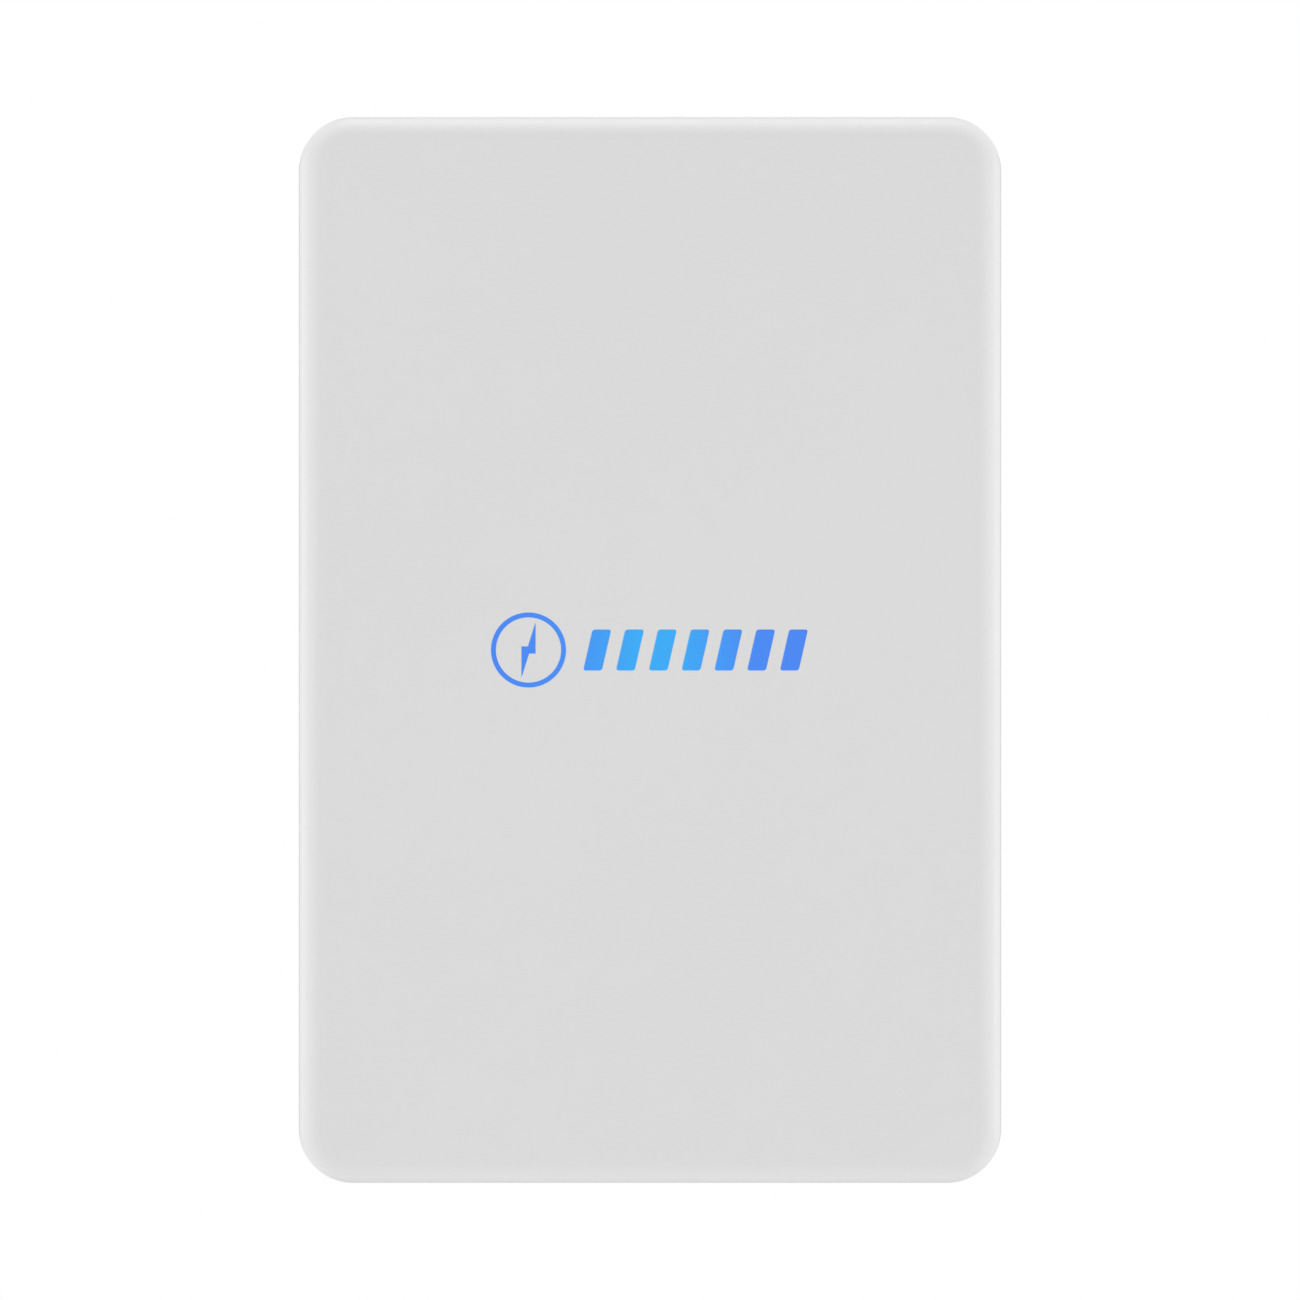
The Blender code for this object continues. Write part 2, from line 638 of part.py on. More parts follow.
def make_inner_lid(aluminium):
    lid = slab("inner_lid", NECK, LID_BACK, LID_FRONT, aluminium)
    for x, z in screw_places():
        cut(lid, rod("lid_screw_hole", SCREW_RADIUS + SCREW_HOLE_FIT, THROUGH,
                     (x, LID_BACK, z), axis="Y", sides=12))
    for x, z in pin_places():
        cut(lid, rod("lid_pin_hole", grommet_hole(), THROUGH, (x, LID_BACK, z), axis="Y"))


def grommet_hole():
    return PIN_RADIUS + PIN_FIT + GROMMET_WALL + GAP


def make_lid_screws(steel):
    for number, (x, z) in enumerate(screw_places(), 1):
        tail = LID_FRONT - FLANGE_BACK - SCREW_TAIL
        profile = [(0, SCREW_HEAD_HEIGHT), (SCREW_HEAD_RADIUS * 0.6, SCREW_HEAD_HEIGHT * 0.9),
                   (SCREW_HEAD_RADIUS, SCREW_HEAD_HEIGHT * 0.25), (SCREW_HEAD_RADIUS, 0),
                   (SCREW_RADIUS, 0), (SCREW_RADIUS, tail), (0, tail)]
        turned(f"lid_screw_{number}", profile, (x, LID_FRONT - GAP, z), axis="-Y",
               mat=steel, steps=12)


def make_grommets(rubber):
    bore = PIN_RADIUS + PIN_FIT
    groove = bore + GROMMET_WALL
    lip = groove + GROMMET_LIP
    half = LID_THICKNESS / 2 + GAP
    end = half + GROMMET_LIP_THICKNESS
    profile = [(bore, end), (lip * 0.85, end), (lip, half), (groove, half), (groove, -half),
               (lip, -half), (lip * 0.85, -end), (bore, -end)]
    for number, (x, z) in enumerate(pin_places(), 1):
        turned(f"cover_grommet_{number}", profile, (x, (LID_BACK + LID_FRONT) / 2, z),
               axis="-Y", mat=rubber, steps=14, closed=True)


# ---------------------------------------------------------------- front cover
def make_front_cover(plastic):
    cover = slab("front_cover", COVER, COVER_BACK, FRONT, plastic, segments=10,
                 round_front=COVER_EDGE_RADIUS, round_segments=6)
    bm = bmesh.new()
    bm.from_mesh(cover.data)
    back = [face for face in bm.faces if face.normal.y > 0.99]
    bmesh.ops.delete(bm, geom=back, context="FACES_ONLY")
    bm.to_mesh(cover.data)
    bm.free()
    shell = cover.modifiers.new("wall", "SOLIDIFY")
    shell.thickness = COVER_WALL
    shell.offset = -1.0
    shell.use_even_offset = True
    shell.use_rim = True
    for x, z in pin_places():
        root = rod("cover_pin_root", PIN_ROOT_RADIUS, PIN_ROOT_LENGTH + ROOT,
                   (x, COVER_INSIDE + (PIN_ROOT_LENGTH - ROOT) / 2, z), axis="Y", sides=16)
        shaft = rod("cover_pin", PIN_RADIUS, PIN_LENGTH + ROOT,
                    (x, COVER_INSIDE + (PIN_LENGTH - ROOT) / 2, z), axis="Y", sides=16)
        join(cover, root, shaft)
    return cover


# ---------------------------------------------------------------- cells and links
def cell_centre(column, row):
    x = -CELLS_SIDE + CELL_WIDTH / 2 + column * (CELL_WIDTH + CELL_GAP)
    top = CELLS_TOP - row * ROW_PITCH - TERMINAL_ROOM
    return x, top - CELL_HEIGHT / 2


def terminal(column, row, side):
    """X and Z of the middle of a cell's terminal top; side is -1 or 1."""
    x, z = cell_centre(column, row)
    return x + side * (CELL_WIDTH / 2 - TERMINAL_INSET), z + CELL_HEIGHT / 2 + TERMINAL_HEIGHT


CELL_ORDER = [(0, 0), (1, 0), (2, 0), (2, 1), (1, 1), (0, 1), (0, 2), (1, 2)]


def make_cells(can):
    pattern = box("cell_pattern", (CELL_WIDTH, CELL_THICKNESS, CELL_HEIGHT), (0, 0, 0),
                  chamfer=CELL_CHAMFER)
    top = CELL_HEIGHT / 2
    for side in (-1, 1):
        x = side * (CELL_WIDTH / 2 - TERMINAL_INSET)
        post = rod("cell_terminal", TERMINAL_RADIUS, TERMINAL_HEIGHT + ROOT,
                   (x, 0, top + (TERMINAL_HEIGHT - ROOT) / 2), sides=16)
        join(pattern, post)
    vent = slab("cell_vent", CELL_VENT, CELL_VENT_HEIGHT, -ROOT, segments=4)
    vent.rotation_euler = (-math.pi / 2, 0, 0)
    vent.location = (0, 0, top)
    join(pattern, vent)
    shared = baked(pattern)
    shared.materials.clear()
    shared.materials.append(can)
    for number, (column, row) in enumerate(CELL_ORDER, 1):
        x, z = cell_centre(column, row)
        cell = bpy.data.objects.new(f"cell_{number}", shared)
        cell.location = (x, CELL_MIDDLE, z)
        PARTS.objects.link(cell)


def make_cell_links(copper):
    lift = GAP + BAR_THICKNESS / 2
    for number, (here, there) in enumerate(zip(CELL_ORDER, CELL_ORDER[1:]), 1):
        if here[1] == there[1]:
            way = 1 if there[0] > here[0] else -1
            x1, z1 = terminal(*here, way)
            x2, z2 = terminal(*there, -way)
            path = [(x1 - way * LINK_OVERLAP, z1 + lift), (x2 + way * LINK_OVERLAP, z2 + lift)]
        else:
            way = 1 if here[0] else -1
            x1, z1 = terminal(*here, way)
            x2, z2 = terminal(*there, way)
            out = way * (CELLS_SIDE + SIDE_LINK_OUT)
            path = [(x1 - way * LINK_OVERLAP, z1 + lift), (out, z1 + lift), (out, z2 + lift),
                    (x2 - way * LINK_OVERLAP, z2 + lift)]
        strip(f"cell_link_{number}", path, BAR_WIDTH, BAR_THICKNESS, CELL_MIDDLE, copper)


def make_pack_busbars(copper):
    lift = GAP + BAR_THICKNESS / 2
    x, z = terminal(0, 0, -1)
    out = -(CELLS_SIDE + RISER_OUT)
    fuse_z = fuse_top() + lift
    strip("positive_busbar", [(x + LINK_OVERLAP, z + lift), (out, z + lift), (out, fuse_z),
                              (POWER_COLUMN_X + FUSE_SIZE[0] / 2, fuse_z)],
          BAR_WIDTH, BAR_THICKNESS, CELL_MIDDLE, copper)

    x, z = terminal(1, 2, 1)
    start = x - LINK_OVERLAP
    shunt = strip("shunt", [(start, z + lift), (start + SHUNT_LENGTH, z + lift)],
                  BAR_WIDTH, BAR_THICKNESS, CELL_MIDDLE, copper)
    block = box("shunt_block", SHUNT_BLOCK,
                (start + SHUNT_LENGTH / 2 - 0.004, CELL_MIDDLE, z + SHUNT_BLOCK[2] / 2))
    join(shunt, block)
    under = z - BAR_THICKNESS / 2
    end_x = start + SHUNT_LENGTH
    low_z = BAY_TOP - 0.010
    strip("negative_busbar", [(end_x - 0.018, under), (end_x + 0.012, under),
                              (end_x + 0.012, low_z),
                              (CONVERTER_X + CONVERTER_SIZE[0] / 2 + 0.006, low_z)],
          BAR_WIDTH, BAR_THICKNESS, CELL_MIDDLE, copper)


def make_cell_packing(silicone, fibre, aluminium):
    high = CELLS_TOP - TERMINAL_ROOM
    low = BAY_TOP + CELL_GAP
    size = (2 * CELLS_SIDE, high - low, 0.004)
    centre = (0, (high + low) / 2)
    slab("thermal_pad", size, PAD_BACK, PAD_BACK - PAD_THICKNESS, silicone, centre, segments=2)
    slab("insulation_sheet", size, SHEET_BACK, SHEET_BACK - SHEET_THICKNESS, fibre, centre,
         segments=2)
    plate = slab("retaining_plate", size, PLATE_BACK, PLATE_FRONT, aluminium, centre, segments=2)
    window = (CELL_WIDTH - PLATE_FRAME, CELL_HEIGHT - PLATE_FRAME, 0.012)
    for column in range(COLUMNS):
        for row in range(ROWS):
            cut(plate, slab("plate_window", window, PLATE_BACK + 0.01, PLATE_FRONT - 0.01,
                            centre=cell_centre(column, row), segments=3))


# ---------------------------------------------------------------- electronics
def converter_z():
    return BAY_TOP - CONVERTER_DROP - CONVERTER_SIZE[1] / 2


def pedestal_size():
    return CONVERTER_SIZE[0] - 2 * PEDESTAL_MARGIN, CONVERTER_SIZE[1] - 2 * PEDESTAL_MARGIN


def make_heat_sink(aluminium):
    width = CONVERTER_SIZE[0] - 2 * HEAT_SINK_MARGIN
    height = CONVERTER_SIZE[1] - 2 * HEAT_SINK_MARGIN
    base_front = CASE_BACK + GAP
    base_back = base_front + HEAT_SINK_BASE
    sink = box("heat_sink", (width, HEAT_SINK_BASE, height),
               (CONVERTER_X, (base_front + base_back) / 2, converter_z()), aluminium)
    pedestal_front = INNER_BACK - PEDESTAL_REACH
    wide, tall = pedestal_size()
    pedestal = box("heat_pedestal", (wide, base_front - pedestal_front + ROOT, tall),
                   (CONVERTER_X, (base_front + ROOT + pedestal_front) / 2, converter_z()))
    join(sink, pedestal)
    pitch = (width - FIN_THICKNESS) / (FIN_COUNT - 1)
    fin_back = -FIN_WALL_CLEARANCE
    fins = box("heat_fins", (FIN_THICKNESS, fin_back - base_back + ROOT, height),
               (CONVERTER_X - width / 2 + FIN_THICKNESS / 2,
                (fin_back + base_back - ROOT) / 2, converter_z()))
    array = fins.modifiers.new("row", "ARRAY")
    array.count = FIN_COUNT
    array.use_relative_offset = False
    array.use_constant_offset = True
    array.constant_offset_displace = (pitch, 0, 0)
    join(sink, fins)


def on_board(board, pieces, x, z, front):
    """Joins blocks (dx, dz, width, height, depth) to a board whose front is at y = front."""
    for dx, dz, width, height, depth in pieces:
        join(board, box(board.name + "_block", (width, depth + ROOT, height),
                        (x + dx, front - (depth - ROOT) / 2, z + dz), chamfer=0.001))


def make_converter(fibreglass):
    back = INNER_BACK - PEDESTAL_REACH - GAP
    front = back - BOARD_THICKNESS
    z = converter_z()
    board = slab("converter_board", (*CONVERTER_SIZE, 0.004), back, front, fibreglass,
                 centre=(CONVERTER_X, z), segments=2)
    on_board(board, CONVERTER_BLOCKS, CONVERTER_X, z, front)
    radius, height = CAPACITOR
    for column in range(3):
        for row in range(2):
            x = CONVERTER_X + CAPACITOR_START[0] + column * CAPACITOR_PITCH[0]
            can_z = z + CAPACITOR_START[1] - row * CAPACITOR_PITCH[1]
            can = rod("converter_capacitor", radius, height + ROOT,
                      (x, front - (height - ROOT) / 2, can_z), axis="Y", sides=14)
            join(board, can)


def fuse_top():
    return BAY_TOP - FUSE_DROP


def make_power_column(ceramic, black):
    z = fuse_top() - FUSE_SIZE[2] / 2
    fuse = box("main_fuse", FUSE_SIZE, (POWER_COLUMN_X, CELL_MIDDLE, z), ceramic, chamfer=0.003)
    foot_y = (INNER_BACK - GAP + CELL_MIDDLE) / 2
    join(fuse, box("fuse_foot", (FUSE_FOOT[0], INNER_BACK - GAP - CELL_MIDDLE, FUSE_FOOT[1]),
                   (POWER_COLUMN_X, foot_y, z)))
    top = fuse_top() - FUSE_SIZE[2] - CONTACTOR_DROP
    width, depth, height = CONTACTOR_SIZE
    contactor = box("contactor", (width, depth, height),
                    (POWER_COLUMN_X, INNER_BACK - GAP - depth / 2, top - height / 2),
                    black, chamfer=0.002)
    radius, length = CONTACTOR_STUD
    for side in (-1, 1):
        join(contactor, rod("contactor_stud", radius, length,
                            (POWER_COLUMN_X + side * CONTACTOR_STUD_X,
                             INNER_BACK - GAP - depth / 2, top + length / 2 - ROOT), sides=12))


def make_bms_board(fibreglass):
    x, z = cell_centre(2, 2)
    back = CELL_FRONT + BMS_SINK
    front = back - BOARD_THICKNESS
    outline = (CELL_WIDTH - 2 * BMS_MARGIN[0], CELL_HEIGHT - 2 * BMS_MARGIN[1], 0.004)
    board = slab("bms_board", outline, back, front, fibreglass, centre=(x, z), segments=2)
    on_board(board, BMS_BLOCKS, x, z, front)


def lead(name, points, insulation):
    curve = bpy.data.curves.new(name, "CURVE")
    curve.dimensions = "3D"
    curve.bevel_depth = LEAD_RADIUS
    curve.bevel_resolution = 2
    curve.use_fill_caps = True
    curve.resolution_u = 5
    spline = curve.splines.new("BEZIER")
    spline.bezier_points.add(len(points) - 1)
    for knot, (place_at, handle) in zip(spline.bezier_points, points):
        knot.co = place_at
        knot.handle_left_type = knot.handle_right_type = "FREE"
        knot.handle_left = [a - b for a, b in zip(place_at, handle)]
        knot.handle_right = [a + b for a, b in zip(place_at, handle)]
    curve.materials.append(insulation)
    obj = bpy.data.objects.new(name, curve)
    PARTS.objects.link(obj)


def make_output_leads(red, black):
    """From the breaker's lower terminals to the tails of the two sockets."""
    x = BREAKER_FRONT - BREAKER_BODY[0] / 2
    start_z = BREAKER_Z - BREAKER_BODY[2] / 2 - GAP
    end_z = CEILING_TOP + SOCKET_TAIL + GAP
    run_z = (start_z + end_z) / 2
    for word, dy, end_x, mat in (("positive", LEAD_SPACING / 2, socket_xs()[0], red),
                                 ("negative", -LEAD_SPACING / 2, socket_xs()[1], black)):
        start_y = TRAY_Y + dy
        middle_x = (x + end_x) / 2
        middle_y = (start_y + NOTCH_MIDDLE + dy) / 2
        lead(f"output_lead_{word}",
             [((x, start_y, start_z), (0, 0, -LEAD_DROP)),
              ((middle_x, middle_y + dy / 2, run_z), (-0.030, 0, 0)),
              ((end_x, NOTCH_MIDDLE, end_z), (0, 0, -LEAD_DROP))], mat)


# ---------------------------------------------------------------- connection recess
def make_sockets(orange, black):
    depth = SOCKET_DEPTH
    tail = CASE_WALL + SOCKET_TAIL
    bottom = -SOCKET_FLANGE_THICKNESS
    contact = SOCKET_CONTACT_SINK - depth
    under = NOTCH_TOP - GAP
    for word, x, mat in zip(("positive", "negative"), socket_xs(), (orange, black)):
        profile = [(0, tail), (SOCKET_TAIL_RADIUS * 0.8, tail), (SOCKET_TAIL_RADIUS, tail - 2 * ROOT),
                   (SOCKET_TAIL_RADIUS, -ROOT), (SOCKET_RADIUS, -ROOT), (SOCKET_RADIUS, -depth),
                   (SOCKET_BORE, -depth), (SOCKET_BORE, bottom), (SOCKET_CONTACT_RADIUS, bottom),
                   (SOCKET_CONTACT_RADIUS, contact), (0, contact)]
        socket = turned(f"dc_socket_{word}", profile, (x, NOTCH_MIDDLE, under), mat=mat, steps=24)
        flange = slab("socket_flange", (SOCKET_FLANGE, SOCKET_FLANGE, 0.004), 0,
                      -SOCKET_FLANGE_THICKNESS, segments=2)
        flange.rotation_euler = (math.pi / 2, 0, 0)
        flange.location = (x, NOTCH_MIDDLE, under - SOCKET_FLANGE_THICKNESS / 2)
        ring = rod("socket_flange_bore", SOCKET_BORE, THROUGH,
                   (x, NOTCH_MIDDLE, under - SOCKET_FLANGE_THICKNESS - THROUGH / 2 + GAP), sides=24)
        cut(flange, ring)
        join(socket, flange)


def port_pivot():
    """Y and Z of the port flap's axis, behind the port flange."""
    y = NOTCH_MIDDLE + PORT_SIZE[1] / 2 + PORT_FLANGE - PORT_EAR_INSET - PORT_EAR[1] / 2
    return y, NOTCH_TOP - GAP - PORT_FLANGE_THICKNESS - PORT_EAR[2] / 2


def make_data_port(black, grey):
    under = NOTCH_TOP - GAP
    flange_width = PORT_SIZE[0] + 2 * PORT_FLANGE + PORT_EXTRA_WIDTH
    flange = box("data_port_block",
                 (flange_width, PORT_SIZE[1] + 2 * PORT_FLANGE, PORT_FLANGE_THICKNESS),
                 (PORT_X, NOTCH_MIDDLE, under - PORT_FLANGE_THICKNESS / 2), black)
    body = box("port_body", (PORT_SIZE[0], PORT_SIZE[1], PORT_BODY),
               (PORT_X, NOTCH_MIDDLE, under - ROOT + PORT_BODY / 2))
    join(flange, body)
    for side in (-1, 1):
        cut(flange, box("port_jack", (*JACK_SIZE, 2 * JACK_DEPTH),
                        (PORT_X + side * JACK_SPACING / 2, NOTCH_MIDDLE,
                         under - PORT_FLANGE_THICKNESS)))
    pivot_y, pivot_z = port_pivot()
    ear_x = flange_width / 2 - PORT_EAR_INSET - PORT_EAR[0] / 2
    for side in (-1, 1):
        ear = box("port_ear", (PORT_EAR[0], PORT_EAR[1], PORT_EAR[2] + ROOT),
                  (PORT_X + side * ear_x, pivot_y, pivot_z + ROOT / 2))
        hole = rod("port_ear_hole", PORT_PIVOT_RADIUS + GAP, 4 * PORT_EAR[0],
                   (PORT_X + side * ear_x, pivot_y, pivot_z), axis="X", sides=12)
        join(flange, ear)
        cut(flange, hole)

    inner_width = flange_width - 2 * (PORT_EAR[0] + 2 * PORT_EAR_INSET)
    axis = pivot("data_port_flap_pivot", (PORT_X, pivot_y, pivot_z))
    front_y = NOTCH_MIDDLE - PORT_SIZE[1] / 2 - PORT_FLANGE + ROOT
    top_z = under - PORT_FLANGE_THICKNESS - 2 * GAP
    plate_z = top_z - PORT_FLAP_THICKNESS / 2
    flap = box("data_port_flap", (inner_width, pivot_y - front_y, PORT_FLAP_THICKNESS),
               (PORT_X, (pivot_y + front_y) / 2, plate_z), grey,
               chamfer=0.0003)
    barrel = rod("port_barrel", PORT_BARREL_RADIUS, inner_width, (PORT_X, pivot_y, pivot_z),
                 axis="X", sides=14)
    web = box("port_web", (inner_width - ROOT, 2 * PORT_FLAP_THICKNESS, plate_z - pivot_z + ROOT),
              (PORT_X, pivot_y - 2 * GAP, (plate_z + pivot_z) / 2))
    pin = rod("port_trunnion", PORT_PIVOT_RADIUS, flange_width - 2 * GAP,
              (PORT_X, pivot_y, pivot_z), axis="X", sides=12)
    pull_z = top_z - PORT_FLAP_THICKNESS - (PORT_PULL[2] - ROOT) / 2
    pull = box("port_pull", PORT_PULL, (PORT_X, front_y + PORT_PULL[1] / 2, pull_z))
    join(flap, web, barrel, pin, pull)
    hang_on(axis, flap)


def make_vent_and_earth(black, brass, steel):
    under = NOTCH_TOP - GAP
    profile = [(0, CASE_WALL + VENT_THREAD), (VENT_THREAD_RADIUS, CASE_WALL + VENT_THREAD),
               (VENT_THREAD_RADIUS, 0), (VENT_RADIUS, 0), (VENT_RADIUS, -VENT_HEIGHT * 0.7),
               (VENT_RADIUS * 0.85, -VENT_HEIGHT), (0, -VENT_HEIGHT)]
    turned("breather_vent", profile, (VENT_X, NOTCH_MIDDLE, under), mat=black, steps=20)
    collar = CASE_WALL + EARTH_COLLAR
    stud = [(0, collar), (EARTH_NUT_RADIUS, collar),
            (EARTH_NUT_RADIUS, CASE_WALL + 2 * GAP), (EARTH_STUD_RADIUS, CASE_WALL + 2 * GAP),
            (EARTH_STUD_RADIUS, -EARTH_STUD_LENGTH + ROOT),
            (EARTH_STUD_RADIUS * 0.7, -EARTH_STUD_LENGTH), (0, -EARTH_STUD_LENGTH)]
    turned("earth_stud", stud, (EARTH_X, NOTCH_MIDDLE, under), mat=brass, steps=16)
    nut = rod("earth_nut", EARTH_NUT_RADIUS, EARTH_NUT_HEIGHT,
              (EARTH_X, NOTCH_MIDDLE, under - EARTH_NUT_HEIGHT / 2), mat=steel, sides=6)
    cut(nut, rod("earth_nut_bore", EARTH_STUD_RADIUS + GAP, THROUGH,
                 (EARTH_X, NOTCH_MIDDLE, under), sides=16))


# ---------------------------------------------------------------- switch tray
def make_switch_tray(plastic):
    outer = (TRAY_OPENING[0] + 2 * TRAY_WALL, TRAY_OPENING[1] + 2 * TRAY_WALL, TRAY_RADIUS)
    depth = TRAY_DEPTH + TRAY_WALL
    tray = slab("switch_tray", outer, depth / 2, -depth / 2, plastic, segments=4)
    turn = (0, 0, math.pi / 2)
    tray.location = (SIDE - depth / 2, TRAY_Y, TRAY_MIDDLE_Z)
    tray.rotation_euler = turn
    lip = slab("tray_lip", (outer[0] + 2 * TRAY_LIP, outer[1] + 2 * TRAY_LIP,
                            TRAY_RADIUS + TRAY_LIP), TRAY_LIP_THICKNESS / 2,
               -TRAY_LIP_THICKNESS / 2, segments=4)
    lip.location = (INNER_SIDE - GAP - TRAY_LIP_THICKNESS / 2, TRAY_Y, TRAY_MIDDLE_Z)
    lip.rotation_euler = turn
    hollow = slab("tray_hollow", (*TRAY_OPENING, TRAY_RADIUS - TRAY_WALL), THROUGH / 2,
                  -THROUGH / 2, segments=4)
    hollow.location = (TRAY_FLOOR + THROUGH / 2, TRAY_Y, TRAY_MIDDLE_Z)
    hollow.rotation_euler = turn
    join(tray, lip)
    cut(tray, hollow)
    nose = box("tray_nose_window", (THROUGH, BREAKER_NOSE[0] + 2 * GAP, BREAKER_NOSE[1] + 2 * GAP),
               (TRAY_FLOOR, TRAY_Y, BREAKER_Z))
    button = rod("tray_button_hole", BUTTON_RADIUS + GAP, THROUGH, (TRAY_FLOOR, TRAY_Y, BUTTON_Z),
                 axis="X")
    light = box("tray_light_window", (THROUGH, LIGHT_SIZE[1] + 2 * GAP, LIGHT_SIZE[0] + 2 * GAP),
                (TRAY_FLOOR, TRAY_Y, light_z()))
    hinge = rod("tray_pin_hole", FLAP_PIVOT_RADIUS + PIN_HOLE_FIT,
                TRAY_OPENING[0] + 2 * (TRAY_WALL - PIN_SKIN), (FLAP_AXIS_X, TRAY_Y, FLAP_AXIS_Z),
                axis="Y", sides=12)
    cut(tray, nose, button, light, hinge)


def light_z():
    return BUTTON_Z + BUTTON_RADIUS + LIGHT_ABOVE_BUTTON


def make_status_light(clear):
    front = TRAY_FLOOR + LIGHT_OUT
    back = TRAY_FLOOR - TRAY_WALL - LIGHT_TAIL
    box("status_light", (front - back, LIGHT_SIZE[1], LIGHT_SIZE[0]),
        ((front + back) / 2, TRAY_Y, light_z()), clear, chamfer=0.0004)


def make_breaker(black, white):
    length, width, height = BREAKER_BODY
    breaker = box("dc_breaker", BREAKER_BODY, (BREAKER_FRONT - length / 2, TRAY_Y, BREAKER_Z),
                  black, chamfer=0.001)
    nose_front = TRAY_FLOOR + BREAKER_NOSE_OUT
    nose_back = BREAKER_FRONT - 2 * ROOT
    nose = box("breaker_nose", (nose_front - nose_back, *BREAKER_NOSE),
               ((nose_front + nose_back) / 2, TRAY_Y, BREAKER_Z), chamfer=0.0006)
    join(breaker, nose)
    cut(breaker, rod("breaker_drum_hole", TOGGLE_DRUM_RADIUS + TOGGLE_FIT,
                     TOGGLE_WIDTH + 2 * TOGGLE_FIT, (TOGGLE_AXIS_X, TRAY_Y, BREAKER_Z),
                     axis="Y", sides=24))

    axis = pivot("breaker_toggle_pivot", (TOGGLE_AXIS_X, TRAY_Y, BREAKER_Z))
    drum = rod("breaker_toggle", TOGGLE_DRUM_RADIUS, TOGGLE_WIDTH,
               (TOGGLE_AXIS_X, TRAY_Y, BREAKER_Z), axis="Y", mat=white, sides=24)
    lever = box("toggle_lever", (TOGGLE_REACH, TOGGLE_WIDTH, TOGGLE_THICKNESS),
                (TOGGLE_AXIS_X + TOGGLE_REACH / 2 * math.cos(TOGGLE_ON_ANGLE), TRAY_Y,
                 BREAKER_Z + TOGGLE_REACH / 2 * math.sin(TOGGLE_ON_ANGLE)), chamfer=0.0008)
    lever.rotation_euler = (0, -TOGGLE_ON_ANGLE, 0)
    join(drum, lever)
    hang_on(axis, drum)


def make_breaker_flap(clear, steel):
    width = TRAY_OPENING[0] - 2 * FLAP_SIDE_GAP
    axis = pivot("breaker_flap_pivot", (FLAP_AXIS_X, TRAY_Y, FLAP_AXIS_Z))
    plate_x = SIDE - GAP - FLAP_THICKNESS / 2
    flap = box("breaker_flap", (FLAP_THICKNESS, width, FLAP_LENGTH),
               (plate_x, TRAY_Y, FLAP_AXIS_Z - FLAP_LENGTH / 2), clear, chamfer=0.0004)
    barrel = rod("flap_barrel", FLAP_BARREL_RADIUS, width, (FLAP_AXIS_X, TRAY_Y, FLAP_AXIS_Z),
                 axis="Y", sides=16)
    pull = box("flap_pull", (FLAP_PULL[0], width / 2, FLAP_PULL[1]),
               (SIDE - GAP - FLAP_PULL[0] / 2, TRAY_Y, FLAP_AXIS_Z - FLAP_LENGTH + FLAP_PULL[1] / 2))
    bore = rod("flap_bore", FLAP_PIVOT_RADIUS + GAP, width + THROUGH,
               (FLAP_AXIS_X, TRAY_Y, FLAP_AXIS_Z), axis="Y", sides=12)
    join(flap, barrel, pull)
    cut(flap, bore)
    hang_on(axis, flap)
    rod("flap_hinge_pin", FLAP_PIVOT_RADIUS, TRAY_OPENING[0] + 2 * (TRAY_WALL - PIN_SKIN - GAP),
        (FLAP_AXIS_X, TRAY_Y, FLAP_AXIS_Z), axis="Y", mat=steel, sides=12)


def make_power_button(grey, black, steel):
    under_floor = TRAY_FLOOR - TRAY_WALL - GAP
    axis = pivot("power_button_pivot", (TRAY_FLOOR, TRAY_Y, BUTTON_Z))
    top = TRAY_FLOOR + BUTTON_OUT - under_floor
    flange = BUTTON_RADIUS + BUTTON_FLANGE
    stem_end = -BUTTON_FLANGE_HEIGHT - BUTTON_STEM
    profile = [(0, top), (BUTTON_RADIUS - ROOT, top), (BUTTON_RADIUS, top - ROOT),
               (BUTTON_RADIUS, 0), (flange, 0), (flange, -BUTTON_FLANGE_HEIGHT),
               (BUTTON_STEM_RADIUS, -BUTTON_FLANGE_HEIGHT), (BUTTON_STEM_RADIUS, stem_end), (0, stem_end)]
    button = turned("power_button", profile, (under_floor, TRAY_Y, BUTTON_Z), axis="X",
                    mat=grey, steps=20)
    hang_on(axis, button)

    spring_front = under_floor - BUTTON_FLANGE_HEIGHT - GAP - SPRING_WIRE
    spring_back = spring_front - BUTTON_SPRING_LENGTH + 2 * SPRING_WIRE
    curve = bpy.data.curves.new("button_spring", "CURVE")
    curve.dimensions = "3D"
    curve.bevel_depth = SPRING_WIRE
    curve.bevel_resolution = 1
    curve.use_fill_caps = True
    spline = curve.splines.new("POLY")
    per_turn = 12
    count = SPRING_TURNS * per_turn
    spline.points.add(count)
    for index, point in enumerate(spline.points):
        angle = 2 * math.pi * index / per_turn
        along = spring_front + (spring_back - spring_front) * index / count
        point.co = (along, TRAY_Y + SPRING_RADIUS * math.cos(angle),
                    BUTTON_Z + SPRING_RADIUS * math.sin(angle), 1)
    curve.materials.append(steel)
    PARTS.objects.link(bpy.data.objects.new("button_spring", curve))

    switch_front = spring_back - SPRING_WIRE - GAP
    box("button_switch", SWITCH_SIZE, (switch_front - SWITCH_SIZE[0] / 2, TRAY_Y, BUTTON_Z),
        black, chamfer=0.0005)


